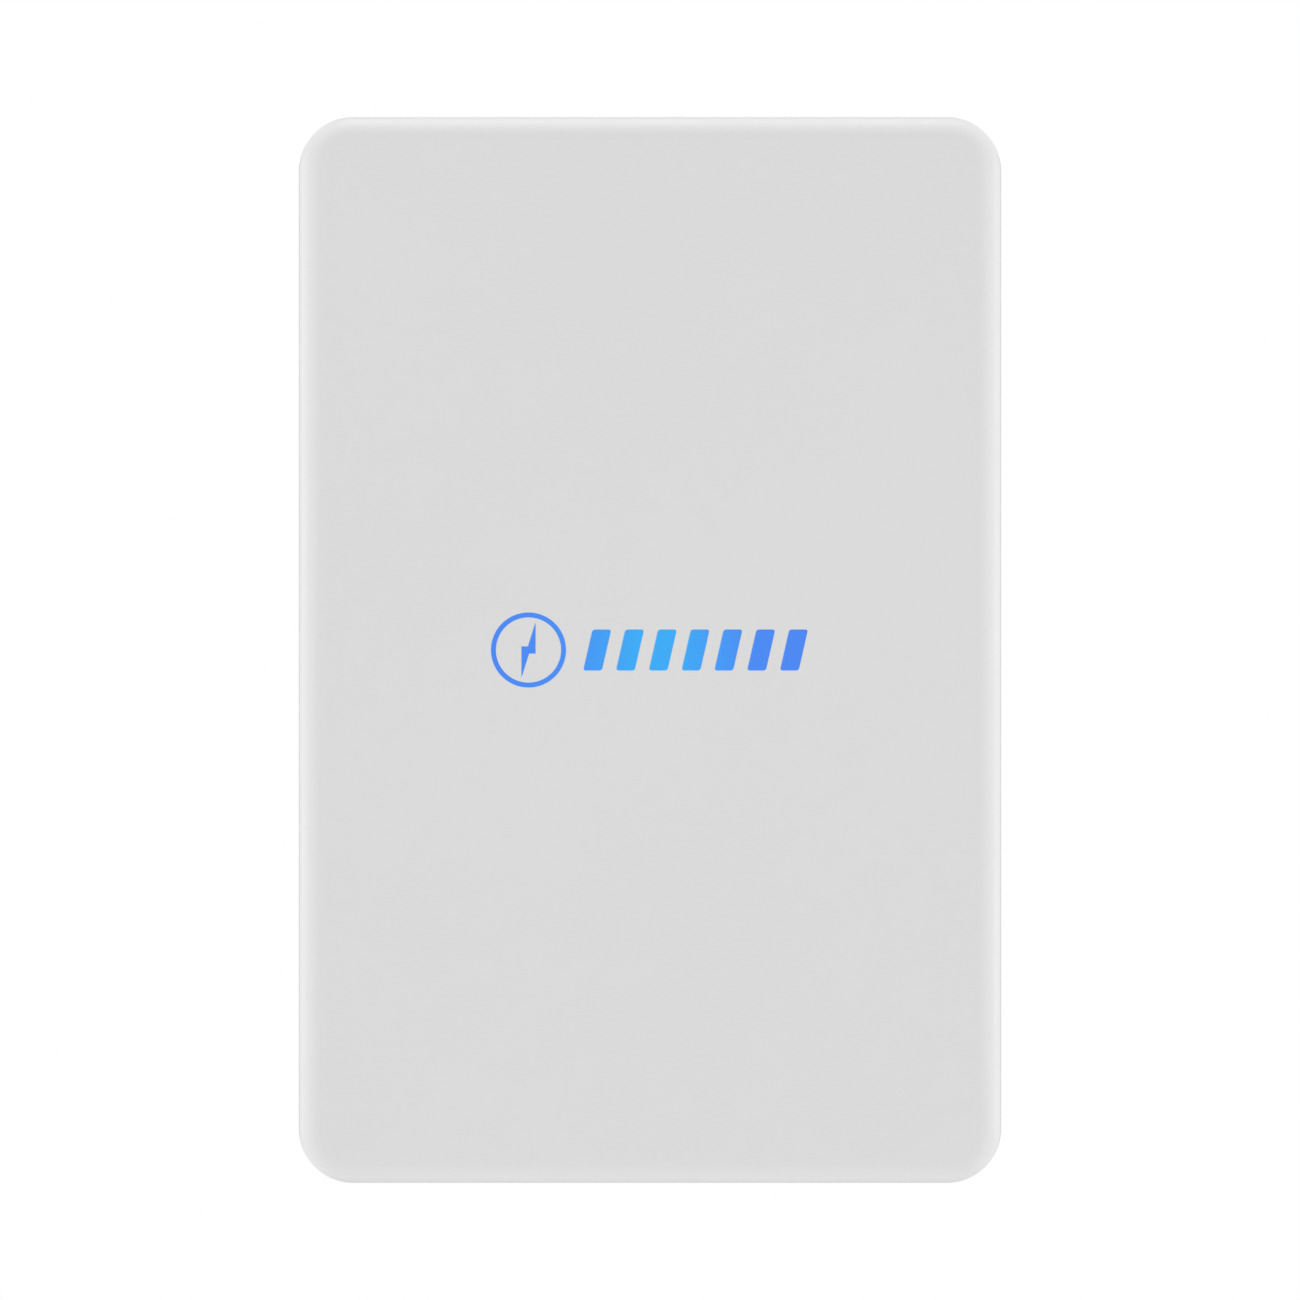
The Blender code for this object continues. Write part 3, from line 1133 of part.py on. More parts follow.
# ---------------------------------------------------------------- assembly
def build():
    zinc = finish("zinc_plated_steel", (0.55, 0.56, 0.58), 0.42, 1.0)
    case_paint = finish("grey_case_paint", (0.30, 0.31, 0.32), 0.55)
    cover_plastic = finish("pale_grey_cover", (0.70, 0.70, 0.70), 0.45)
    aluminium = finish("bare_aluminium", (0.78, 0.79, 0.80), 0.35, 1.0)
    can = finish("cell_can", (0.16, 0.32, 0.62), 0.40)
    copper = finish("copper", (0.80, 0.42, 0.26), 0.30, 1.0)
    rubber = finish("black_rubber", (0.03, 0.03, 0.03), 0.80)
    silicone = finish("thermal_silicone", (0.55, 0.60, 0.66), 0.85)
    fibre = finish("insulating_fibre", (0.72, 0.66, 0.48), 0.80)
    board_green = finish("circuit_board", (0.05, 0.22, 0.12), 0.45)
    black = finish("black_plastic", (0.03, 0.03, 0.032), 0.50)
    orange = finish("orange_plastic", (0.85, 0.25, 0.04), 0.45)
    grey = finish("grey_plastic", (0.45, 0.46, 0.47), 0.50)
    white = finish("white_plastic", (0.80, 0.80, 0.78), 0.45)
    ceramic = finish("white_ceramic", (0.82, 0.80, 0.74), 0.55)
    clear = finish("clear_polycarbonate", (0.80, 0.85, 0.88), 0.12, alpha=0.4)
    light = finish("light_pipe", (0.75, 0.90, 0.80), 0.30, alpha=0.8)
    brass = finish("brass", (0.78, 0.60, 0.28), 0.35, 1.0)
    red = finish("red_insulation", (0.60, 0.04, 0.03), 0.55)
    screw_steel = finish("stainless_steel", (0.62, 0.63, 0.64), 0.30, 1.0)

    make_wall_bracket(zinc)
    make_hanger_rail(zinc)
    make_lock_screws(screw_steel)
    make_rear_case(case_paint)
    make_gasket(rubber)
    make_inner_lid(aluminium)
    make_lid_screws(screw_steel)
    make_grommets(rubber)
    make_front_cover(cover_plastic)
    make_cells(can)
    make_cell_links(copper)
    make_pack_busbars(copper)
    make_cell_packing(silicone, fibre, aluminium)
    make_heat_sink(aluminium)
    make_converter(board_green)
    make_power_column(ceramic, black)
    make_bms_board(board_green)
    make_output_leads(red, black)
    make_sockets(orange, black)
    make_data_port(black, grey)
    make_vent_and_earth(black, brass, screw_steel)
    make_switch_tray(grey)
    make_status_light(light)
    make_breaker(black, white)
    make_breaker_flap(clear, screw_steel)
    make_power_button(white, black, screw_steel)


build()
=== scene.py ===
import json
import math

import bmesh
import bpy
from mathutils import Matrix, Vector

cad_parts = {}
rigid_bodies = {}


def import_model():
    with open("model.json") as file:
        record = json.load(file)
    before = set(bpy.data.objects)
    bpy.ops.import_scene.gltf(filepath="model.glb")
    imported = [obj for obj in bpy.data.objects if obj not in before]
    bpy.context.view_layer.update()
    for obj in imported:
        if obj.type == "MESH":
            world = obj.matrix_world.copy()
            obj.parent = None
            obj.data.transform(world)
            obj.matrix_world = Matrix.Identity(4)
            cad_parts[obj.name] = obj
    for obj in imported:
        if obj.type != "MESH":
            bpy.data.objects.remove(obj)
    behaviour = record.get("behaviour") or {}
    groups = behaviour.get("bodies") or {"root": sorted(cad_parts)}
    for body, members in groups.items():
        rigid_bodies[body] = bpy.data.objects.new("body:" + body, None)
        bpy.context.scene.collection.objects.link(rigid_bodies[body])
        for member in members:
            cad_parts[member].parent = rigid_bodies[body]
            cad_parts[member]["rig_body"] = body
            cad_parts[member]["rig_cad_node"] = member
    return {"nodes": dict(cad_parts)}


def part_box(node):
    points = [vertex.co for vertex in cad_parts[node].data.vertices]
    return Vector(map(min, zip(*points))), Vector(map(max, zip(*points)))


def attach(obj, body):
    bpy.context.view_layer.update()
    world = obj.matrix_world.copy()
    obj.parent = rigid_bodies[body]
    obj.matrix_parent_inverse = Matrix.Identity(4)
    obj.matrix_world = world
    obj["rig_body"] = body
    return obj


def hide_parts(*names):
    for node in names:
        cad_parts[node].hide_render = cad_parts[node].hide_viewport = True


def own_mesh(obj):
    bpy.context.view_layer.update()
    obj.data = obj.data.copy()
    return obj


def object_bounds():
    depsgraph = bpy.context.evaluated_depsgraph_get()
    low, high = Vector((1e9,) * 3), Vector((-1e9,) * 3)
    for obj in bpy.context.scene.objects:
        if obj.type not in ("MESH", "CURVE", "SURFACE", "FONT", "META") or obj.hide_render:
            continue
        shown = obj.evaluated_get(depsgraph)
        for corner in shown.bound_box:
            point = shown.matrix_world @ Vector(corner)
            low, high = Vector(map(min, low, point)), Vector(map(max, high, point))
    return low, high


for leftover in ("Cube", "Light", "Camera"):
    if leftover in bpy.data.objects:
        bpy.data.objects.remove(bpy.data.objects[leftover])

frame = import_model()
cadLow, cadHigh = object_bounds()
nodes = frame["nodes"]
print("frame loaded:", len(nodes), "CAD nodes")

tiny = 1e-5  # points nearer than this count as level
both = (-1, 1)
lockScrews = {-1: "lock_screw_left", 1: "lock_screw_right"}


def pick(*pieces):
    bpy.ops.object.select_all(action="DESELECT")
    for piece in pieces:
        piece.select_set(True)
    bpy.context.view_layer.objects.active = pieces[0]


def applyMoves():
    bpy.ops.object.transform_apply(location=True, rotation=True, scale=True)


def rename(piece, name):
    piece.name = piece.data.name = name
    return piece


def named(name):
    piece = rename(bpy.context.object, name)
    applyMoves()
    return piece


def block(name, size, centre, turn=0.0):
    bpy.ops.mesh.primitive_cube_add(size=1, location=centre, rotation=(0, 0, turn))
    bpy.context.object.scale = size
    return named(name)


axisTurns = {"X": (0, math.pi / 2, 0), "Y": (math.pi / 2, 0, 0), "Z": (0, 0, 0)}


def rod(name, radius, length, centre, axis="Z", sides=48):
    bpy.ops.mesh.primitive_cylinder_add(vertices=sides, radius=radius, depth=length,
                                        location=centre, rotation=axisTurns[axis])
    return named(name)


def span(name, radius, low, high, at, axis="Z", sides=48):
    # a rod between two levels of its axis, its place on the other two axes taken from at
    centre = Vector(at)
    centre["XYZ".index(axis)] = (low + high) / 2
    return rod(name, radius, high - low, centre, axis, sides)


def tube(name, radius, bore, length, centre, axis="Z", sides=48):
    ring = rod(name, radius, length, centre, axis, sides)
    return cutOut(ring, rod("hole", bore, 0.01, centre, axis, sides))


def shape(piece, kind, test, work):
    # selects the faces, edges or points that pass the test, then runs the edit-mode work on them
    pick(piece)
    bpy.ops.object.mode_set(mode="EDIT")
    bpy.ops.mesh.select_mode(type=kind)
    bpy.ops.mesh.select_all(action="DESELECT")
    mesh = bmesh.from_edit_mesh(piece.data)
    for part in {"FACE": mesh.faces, "EDGE": mesh.edges, "VERT": mesh.verts}[kind]:
        if test(part):
            part.select_set(True)
    mesh.select_flush_mode()
    bmesh.update_edit_mesh(piece.data)
    work()
    bpy.ops.object.mode_set(mode="OBJECT")
    return piece


def bevel(width, steps):
    return lambda: bpy.ops.mesh.bevel(offset=width, segments=steps, profile=0.5, affect="EDGES")


def shift(*move):
    return lambda: bpy.ops.transform.translate(value=move)


def push(*moves):
    # insets (numbers) and extrudes (vectors) the picked faces one after another
    def work():
        for move in moves:
            if isinstance(move, tuple):
                bpy.ops.mesh.extrude_region_move(TRANSFORM_OT_translate={"value": move})
            else:
                bpy.ops.mesh.inset(thickness=move)
    return work


def toward(end):
    # how far a vector reaches towards an end such as "-Y"
    way, axis = (1 if end[0] == "+" else -1), "XYZ".index(end[1])
    return lambda vector: way * vector[axis]


def roundEnd(piece, end, width, steps, sharp=0.0):
    # rounds the edges at the outermost end, only those that turn more than sharp
    reach = toward(end)
    level = max(reach(vert.co) for vert in piece.data.vertices) - tiny
    return shape(piece, "EDGE", lambda edge: all(reach(vert.co) > level for vert in edge.verts)
                 and abs(edge.calc_face_angle(0)) >= sharp, bevel(width, steps))


def pressEnd(piece, end, *moves):
    # insets and extrudes the faces that look towards an end
    reach = toward(end)
    return shape(piece, "FACE", lambda face: reach(face.normal) > 0.99, push(*moves))


def runsAlong(edge, axis):
    run = edge.verts[0].co - edge.verts[1].co
    return abs(run["XYZ".index(axis)]) > 0.99 * run.length


def roundCorners(piece, axis, radius, steps):
    return shape(piece, "EDGE", lambda edge: runsAlong(edge, axis), bevel(radius, steps))


def roundRims(piece, axis, radius, steps):
    # rounds both ends of a rod
    return shape(piece, "EDGE", lambda edge: not runsAlong(edge, axis), bevel(radius, steps))


def slab(name, width, height, radius, back, front, x=0.0, z=0.0, steps=12):
    # plate that faces the front
    piece = block(name, (width, back - front, height), (x, (back + front) / 2, z))
    return roundCorners(piece, "Y", radius, steps)


def plaque(name, width, depth, radius, low, high, x=0.0, y=0.0, steps=6):
    # plate that lies flat
    piece = block(name, (width, depth, high - low), (x, y, (low + high) / 2))
    return roundCorners(piece, "Z", radius, steps)


def panel(name, width, height, radius, left, right, y=0.0, z=0.0, steps=6):
    # plate that faces the side
    piece = block(name, (right - left, width, height), ((left + right) / 2, y, z))
    return roundCorners(piece, "X", radius, steps)


def useModifier(piece, kind, **settings):
    pick(piece)
    modifier = piece.modifiers.new(kind.lower(), kind)
    for setting, value in settings.items():
        setattr(modifier, setting, value)
    bpy.ops.object.modifier_apply(modifier=modifier.name)
    return piece


def soften(piece, width, steps=2, angle=30):
    return useModifier(piece, "BEVEL", width=width, segments=steps, limit_method="ANGLE",
                       angle_limit=math.radians(angle), use_clamp_overlap=True)


def combine(piece, others, operation):
    for other in others:
        useModifier(piece, "BOOLEAN", object=other, operation=operation, solver="EXACT")
        bpy.data.objects.remove(other)
    return piece


def cutOut(piece, *cutters):
    return combine(piece, cutters, "DIFFERENCE")


def fuse(piece, *others):
    return combine(piece, others, "UNION")


def gather(piece, *others):
    # several closed shapes in one piece
    pick(piece, *others)
    bpy.ops.object.join()
    return piece


def duplicate(piece, name):
    pick(piece)
    bpy.ops.object.duplicate()
    return rename(bpy.context.object, name)


def copyOf(piece, name, move):
    copy = duplicate(piece, name)
    copy.location = copy.location + Vector(move)
    applyMoves()
    return copy


def edit(piece, *works):
    pick(piece)
    bpy.ops.object.mode_set(mode="EDIT")
    bpy.ops.mesh.select_all(action="SELECT")
    bpy.ops.mesh.remove_doubles(threshold=1e-6)
    for work in works:
        work()
    bpy.ops.object.mode_set(mode="OBJECT")


def settle(piece, look, *replaced, body="unit", free=False, angle=35):
    # last step of every piece: clean mesh, shading, material, body and replaced nodes
    edit(piece, lambda: bpy.ops.mesh.normals_make_consistent(inside=False))
    applyMoves()
    bpy.ops.object.shade_smooth_by_angle(angle=math.radians(angle))
    piece.data.materials.clear()
    piece.data.materials.append(finishes[look])
    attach(piece, body)
    if replaced:
        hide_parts(*replaced)
    return piece


def redraw(node, name, width=0.0, steps=2, angle=30):
    # a copy of a CAD node with its triangles merged to faces and its edges softened
    piece = duplicate(nodes[node], name)
    piece.parent = None
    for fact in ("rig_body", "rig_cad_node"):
        if fact in piece:
            del piece[fact]
    edit(piece, lambda: bpy.ops.mesh.dissolve_limited(angle_limit=math.radians(0.5)))
    if width:
        soften(piece, width, steps, angle)
    return piece


def middle(node):
    low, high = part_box(node)
    return (low + high) / 2


# a material from one look, with all patterns on Object coordinates in metres
def surface(name, look):
    material = bpy.data.materials.new(name)
    material.use_nodes = True
    tree = material.node_tree
    make, link = tree.nodes.new, tree.links.new
    shader = tree.nodes["Principled BSDF"]
    coords = make("ShaderNodeTexCoord").outputs["Object"]
    mapping = make("ShaderNodeMapping")
    mapping.inputs["Scale"].default_value = look.get("stretch", (1, 1, 1))
    link(coords, mapping.inputs["Vector"])
    mapped = mapping.outputs["Vector"]

    def fill(node, **values):
        for socket, value in values.items():
            node.inputs[socket.replace("_", " ")].default_value = value
        return node

    def noise(scale, detail=3.0, roughness=0.55, source=coords):
        texture = fill(make("ShaderNodeTexNoise"), Scale=scale, Detail=detail, Roughness=roughness)
        link(source, texture.inputs["Vector"])
        return texture.outputs["Fac"]

    def blend(factor, first, second):
        mix = make("ShaderNodeMix")
        mix.data_type = "RGBA"
        link(factor, mix.inputs["Factor"])
        for socket, value in ((mix.inputs[6], first), (mix.inputs[7], second)):
            if isinstance(value, tuple):
                socket.default_value = (*value, 1.0)
            else:
                link(value, socket)
        return mix.outputs[2]

    def spread(source, low, high, fromLow=0.3, fromHigh=0.7):
        levels = fill(make("ShaderNodeMapRange"), From_Min=fromLow, From_Max=fromHigh,
                      To_Min=low, To_Max=high)
        link(source, levels.inputs["Value"])
        return levels.outputs["Result"]

    base = look["colour"]
    drift = look.get("drift", 0.05)
    darker = tuple(c * (1 - drift) for c in base)
    lighter = tuple(min(c * (1 + drift), 1.0) for c in base)
    colour = blend(spread(noise(look.get("driftScale", 14.0)), 0, 1), darker, lighter)
    grain = noise(look["grainScale"], 2.0, 0.5, mapped)
    if "grainColour" in look:
        colour = blend(spread(grain, 0, look.get("grainAmount", 0.5)), colour, look["grainColour"])
    if "cells" in look:
        # flat patches of slightly different tone, as on zinc
        patches = fill(make("ShaderNodeTexVoronoi"), Scale=look["cells"])
        link(mapped, patches.inputs["Vector"])
        tone = spread(patches.outputs["Color"], 0, look["cellAmount"], 0, 1)
        colour = blend(tone, colour, look["cellColour"])
    if "dust" in look:
        # scattered marks: dust, oxide or scuffs
        marks = spread(noise(look.get("dustScale", 55.0), 8.0, 0.7), 0,
                       look.get("dustAmount", 0.3), look.get("dustFrom", 0.56), 0.75)
        colour = blend(marks, colour, look["dust"])
    if "edge" in look:
        # edges rubbed through to a lighter tone
        geometry = make("ShaderNodeNewGeometry")
        rubbed = spread(geometry.outputs["Pointiness"], 0, look["edgeAmount"], 0.52, 0.62)
        broken = spread(noise(160.0, 5.0, 0.7), 0, 1, 0.4, 0.6)
        product = make("ShaderNodeMath")
        product.operation = "MULTIPLY"
        link(rubbed, product.inputs[0])
        link(broken, product.inputs[1])
        colour = blend(product.outputs["Value"], colour, look["edge"])
    link(colour, shader.inputs["Base Color"])
    gloss = spread(noise(look.get("glossScale", 30.0), 5.0, 0.6), *look["roughness"])
    link(gloss, shader.inputs["Roughness"])
    bump = fill(make("ShaderNodeBump"), Strength=look["bump"], Distance=look.get("depth", 0.0002))
    link(grain, bump.inputs["Height"])
    link(bump.outputs["Normal"], shader.inputs["Normal"])
    fill(shader, Metallic=look.get("metal", 0.0), Transmission_Weight=look.get("clear", 0.0),
         Coat_Weight=look.get("coat", 0.0), Coat_Roughness=0.15, Alpha=look.get("alpha", 1.0))
    return material


looks = {
    "cover": {"slot": "cover", "colour": (0.7, 0.7, 0.7), "drift": 0.004, "driftScale": 4.0,
        "roughness": (0.52, 0.6), "grainScale": 1400.0, "bump": 0.1, "depth": 0.00004, "glossScale": 12.0},
    "casePaint": {"slot": "case_paint", "colour": (0.3, 0.31, 0.32), "drift": 0.05,
        "roughness": (0.46, 0.6), "grainScale": 1500.0, "bump": 0.5, "depth": 0.0002,
        "dust": (0.42, 0.42, 0.41), "dustAmount": 0.25, "edge": (0.5, 0.51, 0.52), "edgeAmount": 0.5},
    "zinc": {"slot": "zinc", "colour": (0.55, 0.56, 0.58), "drift": 0.1, "roughness": (0.34, 0.52),
        "metal": 1.0, "cells": 260.0, "cellColour": (0.74, 0.75, 0.77), "cellAmount": 0.45,
        "grainScale": 500.0, "bump": 0.12, "dust": (0.8, 0.8, 0.78), "dustAmount": 0.35, "dustFrom": 0.6},
    "stainless": {"slot": "stainless", "colour": (0.62, 0.63, 0.64), "drift": 0.06,
        "roughness": (0.2, 0.34), "metal": 1.0, "grainScale": 1200.0, "bump": 0.08, "dust": (0.3, 0.3, 0.3),
        "dustAmount": 0.2, "dustScale": 240.0},
    "aluminium": {"slot": "aluminium", "colour": (0.77, 0.78, 0.79), "drift": 0.05,
        "roughness": (0.28, 0.46), "metal": 1.0, "stretch": (1, 1, 0.02), "grainScale": 1500.0,
        "grainColour": (0.66, 0.67, 0.68), "grainAmount": 0.4, "bump": 0.1, "dust": (0.55, 0.56, 0.57),
        "dustAmount": 0.25},
    "rubber": {"slot": "rubber", "colour": (0.03, 0.03, 0.031), "drift": 0.2, "roughness": (0.68, 0.88),
        "grainScale": 1100.0, "bump": 0.35, "dust": (0.16, 0.16, 0.155), "dustAmount": 0.3,
        "dustScale": 120.0},
    "silicone": {"slot": "silicone", "colour": (0.55, 0.6, 0.66), "drift": 0.05, "roughness": (0.75, 0.92),
        "grainScale": 420.0, "bump": 0.4, "grainColour": (0.66, 0.7, 0.74)},
    "fibre": {"slot": "fibre", "colour": (0.72, 0.66, 0.48), "drift": 0.08, "roughness": (0.7, 0.88),
        "stretch": (1, 1, 0.2), "grainScale": 900.0, "grainColour": (0.58, 0.51, 0.34), "bump": 0.3},
    "cellFilm": {"slot": "cell_can", "colour": (0.05, 0.17, 0.5), "drift": 0.1, "driftScale": 22.0,
        "roughness": (0.22, 0.38), "grainScale": 90.0, "bump": 0.1, "depth": 0.0004, "coat": 0.3,
        "dust": (0.3, 0.42, 0.66), "dustAmount": 0.2},
    "copper": {"slot": "copper", "colour": (0.8, 0.42, 0.26), "drift": 0.12, "driftScale": 40.0,
        "roughness": (0.2, 0.42), "metal": 1.0, "stretch": (0.05, 1, 1), "grainScale": 1300.0, "bump": 0.08,
        "dust": (0.36, 0.18, 0.11), "dustAmount": 0.45, "dustScale": 90.0},
    "tin": {"colour": (0.7, 0.71, 0.71), "drift": 0.07, "roughness": (0.28, 0.48), "metal": 1.0,
        "grainScale": 700.0, "bump": 0.15},
    "gold": {"slot": "brass", "colour": (0.86, 0.62, 0.24), "drift": 0.06, "roughness": (0.18, 0.3),
        "metal": 1.0, "grainScale": 1500.0, "bump": 0.05},
    "brass": {"slot": "brass", "colour": (0.78, 0.6, 0.28), "drift": 0.09, "roughness": (0.22, 0.42),
        "metal": 1.0, "grainScale": 1200.0, "bump": 0.08, "dust": (0.4, 0.28, 0.12), "dustAmount": 0.35,
        "dustScale": 200.0},
    "board": {"slot": "circuit_board", "colour": (0.018, 0.13, 0.06), "drift": 0.12,
        "roughness": (0.26, 0.4), "cells": 700.0, "cellColour": (0.045, 0.24, 0.11), "cellAmount": 0.6,
        "stretch": (1, 1, 0.15), "grainScale": 500.0, "bump": 0.2, "coat": 0.2},
    "ceramic": {"slot": "ceramic", "colour": (0.8, 0.78, 0.72), "drift": 0.04, "roughness": (0.38, 0.55),
        "grainScale": 700.0, "bump": 0.2, "dust": (0.55, 0.52, 0.46), "dustAmount": 0.25},
    "blackPlastic": {"slot": "black_plastic", "colour": (0.028, 0.028, 0.03), "drift": 0.15,
        "roughness": (0.42, 0.58), "grainScale": 1600.0, "bump": 0.35, "depth": 0.00012,
        "dust": (0.12, 0.12, 0.118), "dustAmount": 0.25, "edge": (0.1, 0.1, 0.105), "edgeAmount": 0.4},
    "orangePlastic": {"slot": "orange_plastic", "colour": (0.85, 0.22, 0.03), "drift": 0.07,
        "roughness": (0.36, 0.5), "grainScale": 1500.0, "bump": 0.25, "depth": 0.00012,
        "dust": (0.62, 0.24, 0.09), "dustAmount": 0.25},
    "greyPlastic": {"slot": "grey_plastic", "colour": (0.4, 0.41, 0.42), "drift": 0.05,
        "roughness": (0.42, 0.58), "grainScale": 1500.0, "bump": 0.35, "depth": 0.00015,
        "dust": (0.52, 0.52, 0.51), "dustAmount": 0.2, "edge": (0.55, 0.56, 0.57), "edgeAmount": 0.4},
    "whitePlastic": {"slot": "white_plastic", "colour": (0.8, 0.8, 0.78), "drift": 0.03,
        "roughness": (0.36, 0.48), "grainScale": 1400.0, "bump": 0.2, "depth": 0.0001,
        "dust": (0.62, 0.61, 0.57), "dustAmount": 0.15},
    "clearPlastic": {"slot": "clear_plastic", "colour": (0.86, 0.9, 0.92), "drift": 0.02,
        "roughness": (0.06, 0.14), "clear": 0.85, "grainScale": 160.0, "bump": 0.04, "alpha": 0.55},
    "lightPipe": {"slot": "light_pipe", "colour": (0.7, 0.9, 0.78), "drift": 0.03, "roughness": (0.18, 0.3),
        "clear": 0.3, "grainScale": 700.0, "bump": 0.1},
    "redJacket": {"slot": "red_insulation", "colour": (0.58, 0.035, 0.028), "drift": 0.08,
        "roughness": (0.4, 0.56), "grainScale": 900.0, "bump": 0.3, "depth": 0.0001,
        "dust": (0.4, 0.1, 0.09)},
    "blackJacket": {"slot": "black_insulation", "colour": (0.026, 0.026, 0.027), "drift": 0.15,
        "roughness": (0.42, 0.6), "grainScale": 900.0, "bump": 0.3, "depth": 0.0001,
        "dust": (0.1, 0.1, 0.1)},
    "greyInk": {"colour": (0.22, 0.225, 0.23), "drift": 0.05, "roughness": (0.45, 0.6),
        "grainScale": 1600.0, "bump": 0.1},
    "chipResin": {"colour": (0.02, 0.02, 0.022), "drift": 0.2, "roughness": (0.3, 0.46),
        "grainScale": 1500.0, "bump": 0.3},
    "ferrite": {"colour": (0.1, 0.1, 0.105), "drift": 0.15, "roughness": (0.55, 0.75), "grainScale": 800.0,
        "bump": 0.5},
}
finishes = {name: surface(name, look) for name, look in looks.items()}


def markInk():
    # blue ink that turns lighter towards the middle of the row
    looks["mark"] = {"colour": (0.05, 0.25, 0.90), "drift": 0.0, "roughness": (0.40, 0.46),
                     "grainScale": 1500.0, "bump": 0.05, "depth": 0.00003}
    finishes["mark"] = surface("markInk", looks["mark"])
    tree = finishes["mark"].node_tree
    make, link = tree.nodes.new, tree.links.new
    split = make("ShaderNodeSeparateXYZ")
    link(make("ShaderNodeTexCoord").outputs["Object"], split.inputs["Vector"])
    ramp = make("ShaderNodeValToRGB")
    stops = ((0.0, (0.048, 0.235, 0.905)), (0.24, (0.046, 0.262, 0.910)), (0.47, (0.024, 0.405, 0.930)),
             (0.60, (0.026, 0.390, 0.930)), (0.82, (0.048, 0.245, 0.905)), (1.0, (0.052, 0.225, 0.900)))
    while len(ramp.color_ramp.elements) < len(stops):
        ramp.color_ramp.elements.new(0.5)
    for element, (place, colour) in zip(ramp.color_ramp.elements, stops):
        element.position = place
        element.color = (*colour, 1.0)
    row = make("ShaderNodeMapRange")
    row.inputs["From Min"].default_value = mark["ringX"] - mark["ringRadius"]
    row.inputs["From Max"].default_value = mark["barsTo"]
    link(split.outputs["X"], row.inputs["Value"])
    link(row.outputs["Result"], ramp.inputs["Fac"])
    link(ramp.outputs["Color"], tree.nodes["Principled BSDF"].inputs["Base Color"])


mark = {"ringX": -0.1036, "ringRadius": 0.0320, "ringWidth": 0.0042, "thickness": 0.00006,
        "barsFrom": -0.0570, "barsTo": 0.1348, "bars": 7, "barWidth": 0.0160, "barHeight": 0.0350,
        "slant": 0.0080, "barCorner": 0.0022, "boltHeight": 0.0260, "boltWidth": 0.0085,
        "boltShift": 0.0018, "boltOverlap": 0.0010}
markInk()
print("materials made:", len(finishes))

front = {"cornerRadius": 0.046, "edgeRadius": 0.020, "cornerSteps": 24, "edgeSteps": 14, "wall": 0.003,
         "ribWidth": 0.0016, "ribHeight": 0.0020, "ribX": (-0.20, -0.10, 0.0, 0.10, 0.20),
         "ribZ": (-0.33, -0.22, -0.11, 0.0, 0.11, 0.22, 0.33), "ribEnd": 0.026, "pinRadius": 0.003,
         "pinLength": 0.011, "bossRadius": 0.005, "bossHeight": 0.0015}
grommets = [f"cover_grommet_{number}" for number in range(1, 5)]
root = 0.001  # how far a fused piece reaches into its base


def makeFrontCover():
    low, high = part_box("front_cover")
    shell = slab("cover_shell", high.x - low.x, high.z - low.z, front["cornerRadius"], high.y, low.y,
                 steps=front["cornerSteps"])
    roundEnd(shell, "-Y", front["edgeRadius"], front["edgeSteps"])
    shape(shell, "FACE", lambda face: face.normal.y < -0.999 and face.calc_area() > 0.1,
          push(0.0006, 0.0010))
    shape(shell, "FACE", lambda face: face.normal.y > 0.99, lambda: bpy.ops.mesh.delete(type="FACE"))
    useModifier(shell, "SOLIDIFY", thickness=front["wall"], offset=-1.0, use_even_offset=True,
                use_rim=True)
    roundEnd(shell, "+Y", 0.0005, 2, sharp=1.0)
    inside = low.y + front["wall"]
    sunk = 0.0005
    thick, deep = front["ribWidth"], front["ribHeight"] + sunk
    y = inside + (front["ribHeight"] - sunk) / 2
    ribs = [block("rib", (thick, deep, 2 * (high.z - front["ribEnd"])), (x, y, 0)) for x in front["ribX"]]
    ribs += [block("rib", (2 * (high.x - front["ribEnd"]), deep, thick), (0, y, z)) for z in front["ribZ"]]
    fuse(shell, fuse(*ribs))
    for node in grommets:
        at = middle(node)
        boss = span("boss", front["bossRadius"], inside - root, inside + front["bossHeight"], at, "Y", 32)
        roundEnd(boss, "+Y", 0.0006, 2)
        pin = span("pin", front["pinRadius"], inside - root, inside + front["pinLength"], at, "Y", 32)
        roundEnd(pin, "+Y", 0.0018, 5)
        fuse(shell, boss, pin)
    settle(shell, "cover", "front_cover", body="cover", angle=30)


makeFrontCover()


def makeMark():
    thick = mark["thickness"]
    x, y = mark["ringX"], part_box("front_cover")[0].y - thick / 2
    ring = tube("printed_ring", mark["ringRadius"], mark["ringRadius"] - mark["ringWidth"], thick,
                (x, y, 0), "Y", 128)
    # the bolt is two thin triangles that overlap
    halves = []
    for way in (1, -1):
        z = way * (0.42 * mark["boltHeight"] - mark["boltOverlap"])
        half = block("printed_bolt", (mark["boltWidth"], thick, mark["boltHeight"]),
                     (x + way * mark["boltShift"], y, z))
        tip = z + way * mark["boltHeight"] / 2
        shape(half, "VERT", lambda vert: abs(vert.co.z - tip) < 1e-4 and (vert.co.x - x) * way < 0.0,
              shift(way * mark["boltWidth"] * 0.96, 0, 0))
        halves.append(half)
    bars = []
    pitch = (mark["barsTo"] - mark["barsFrom"] - mark["barWidth"] - mark["slant"]) / (mark["bars"] - 1)
    for number in range(mark["bars"]):
        left = mark["barsFrom"] + number * pitch
        bar = block(f"printed_bar_{number + 1}", (mark["barWidth"], thick, mark["barHeight"]),
                    (left + mark["barWidth"] / 2, y, 0))
        shape(bar, "VERT", lambda vert: vert.co.z > 0, shift(mark["slant"], 0, 0))
        bars.append(roundCorners(bar, "Y", mark["barCorner"], 5))
    for piece in (ring, fuse(*halves), *bars):
        settle(piece, "mark", body="cover")


makeMark()
print("front cover and mark done")

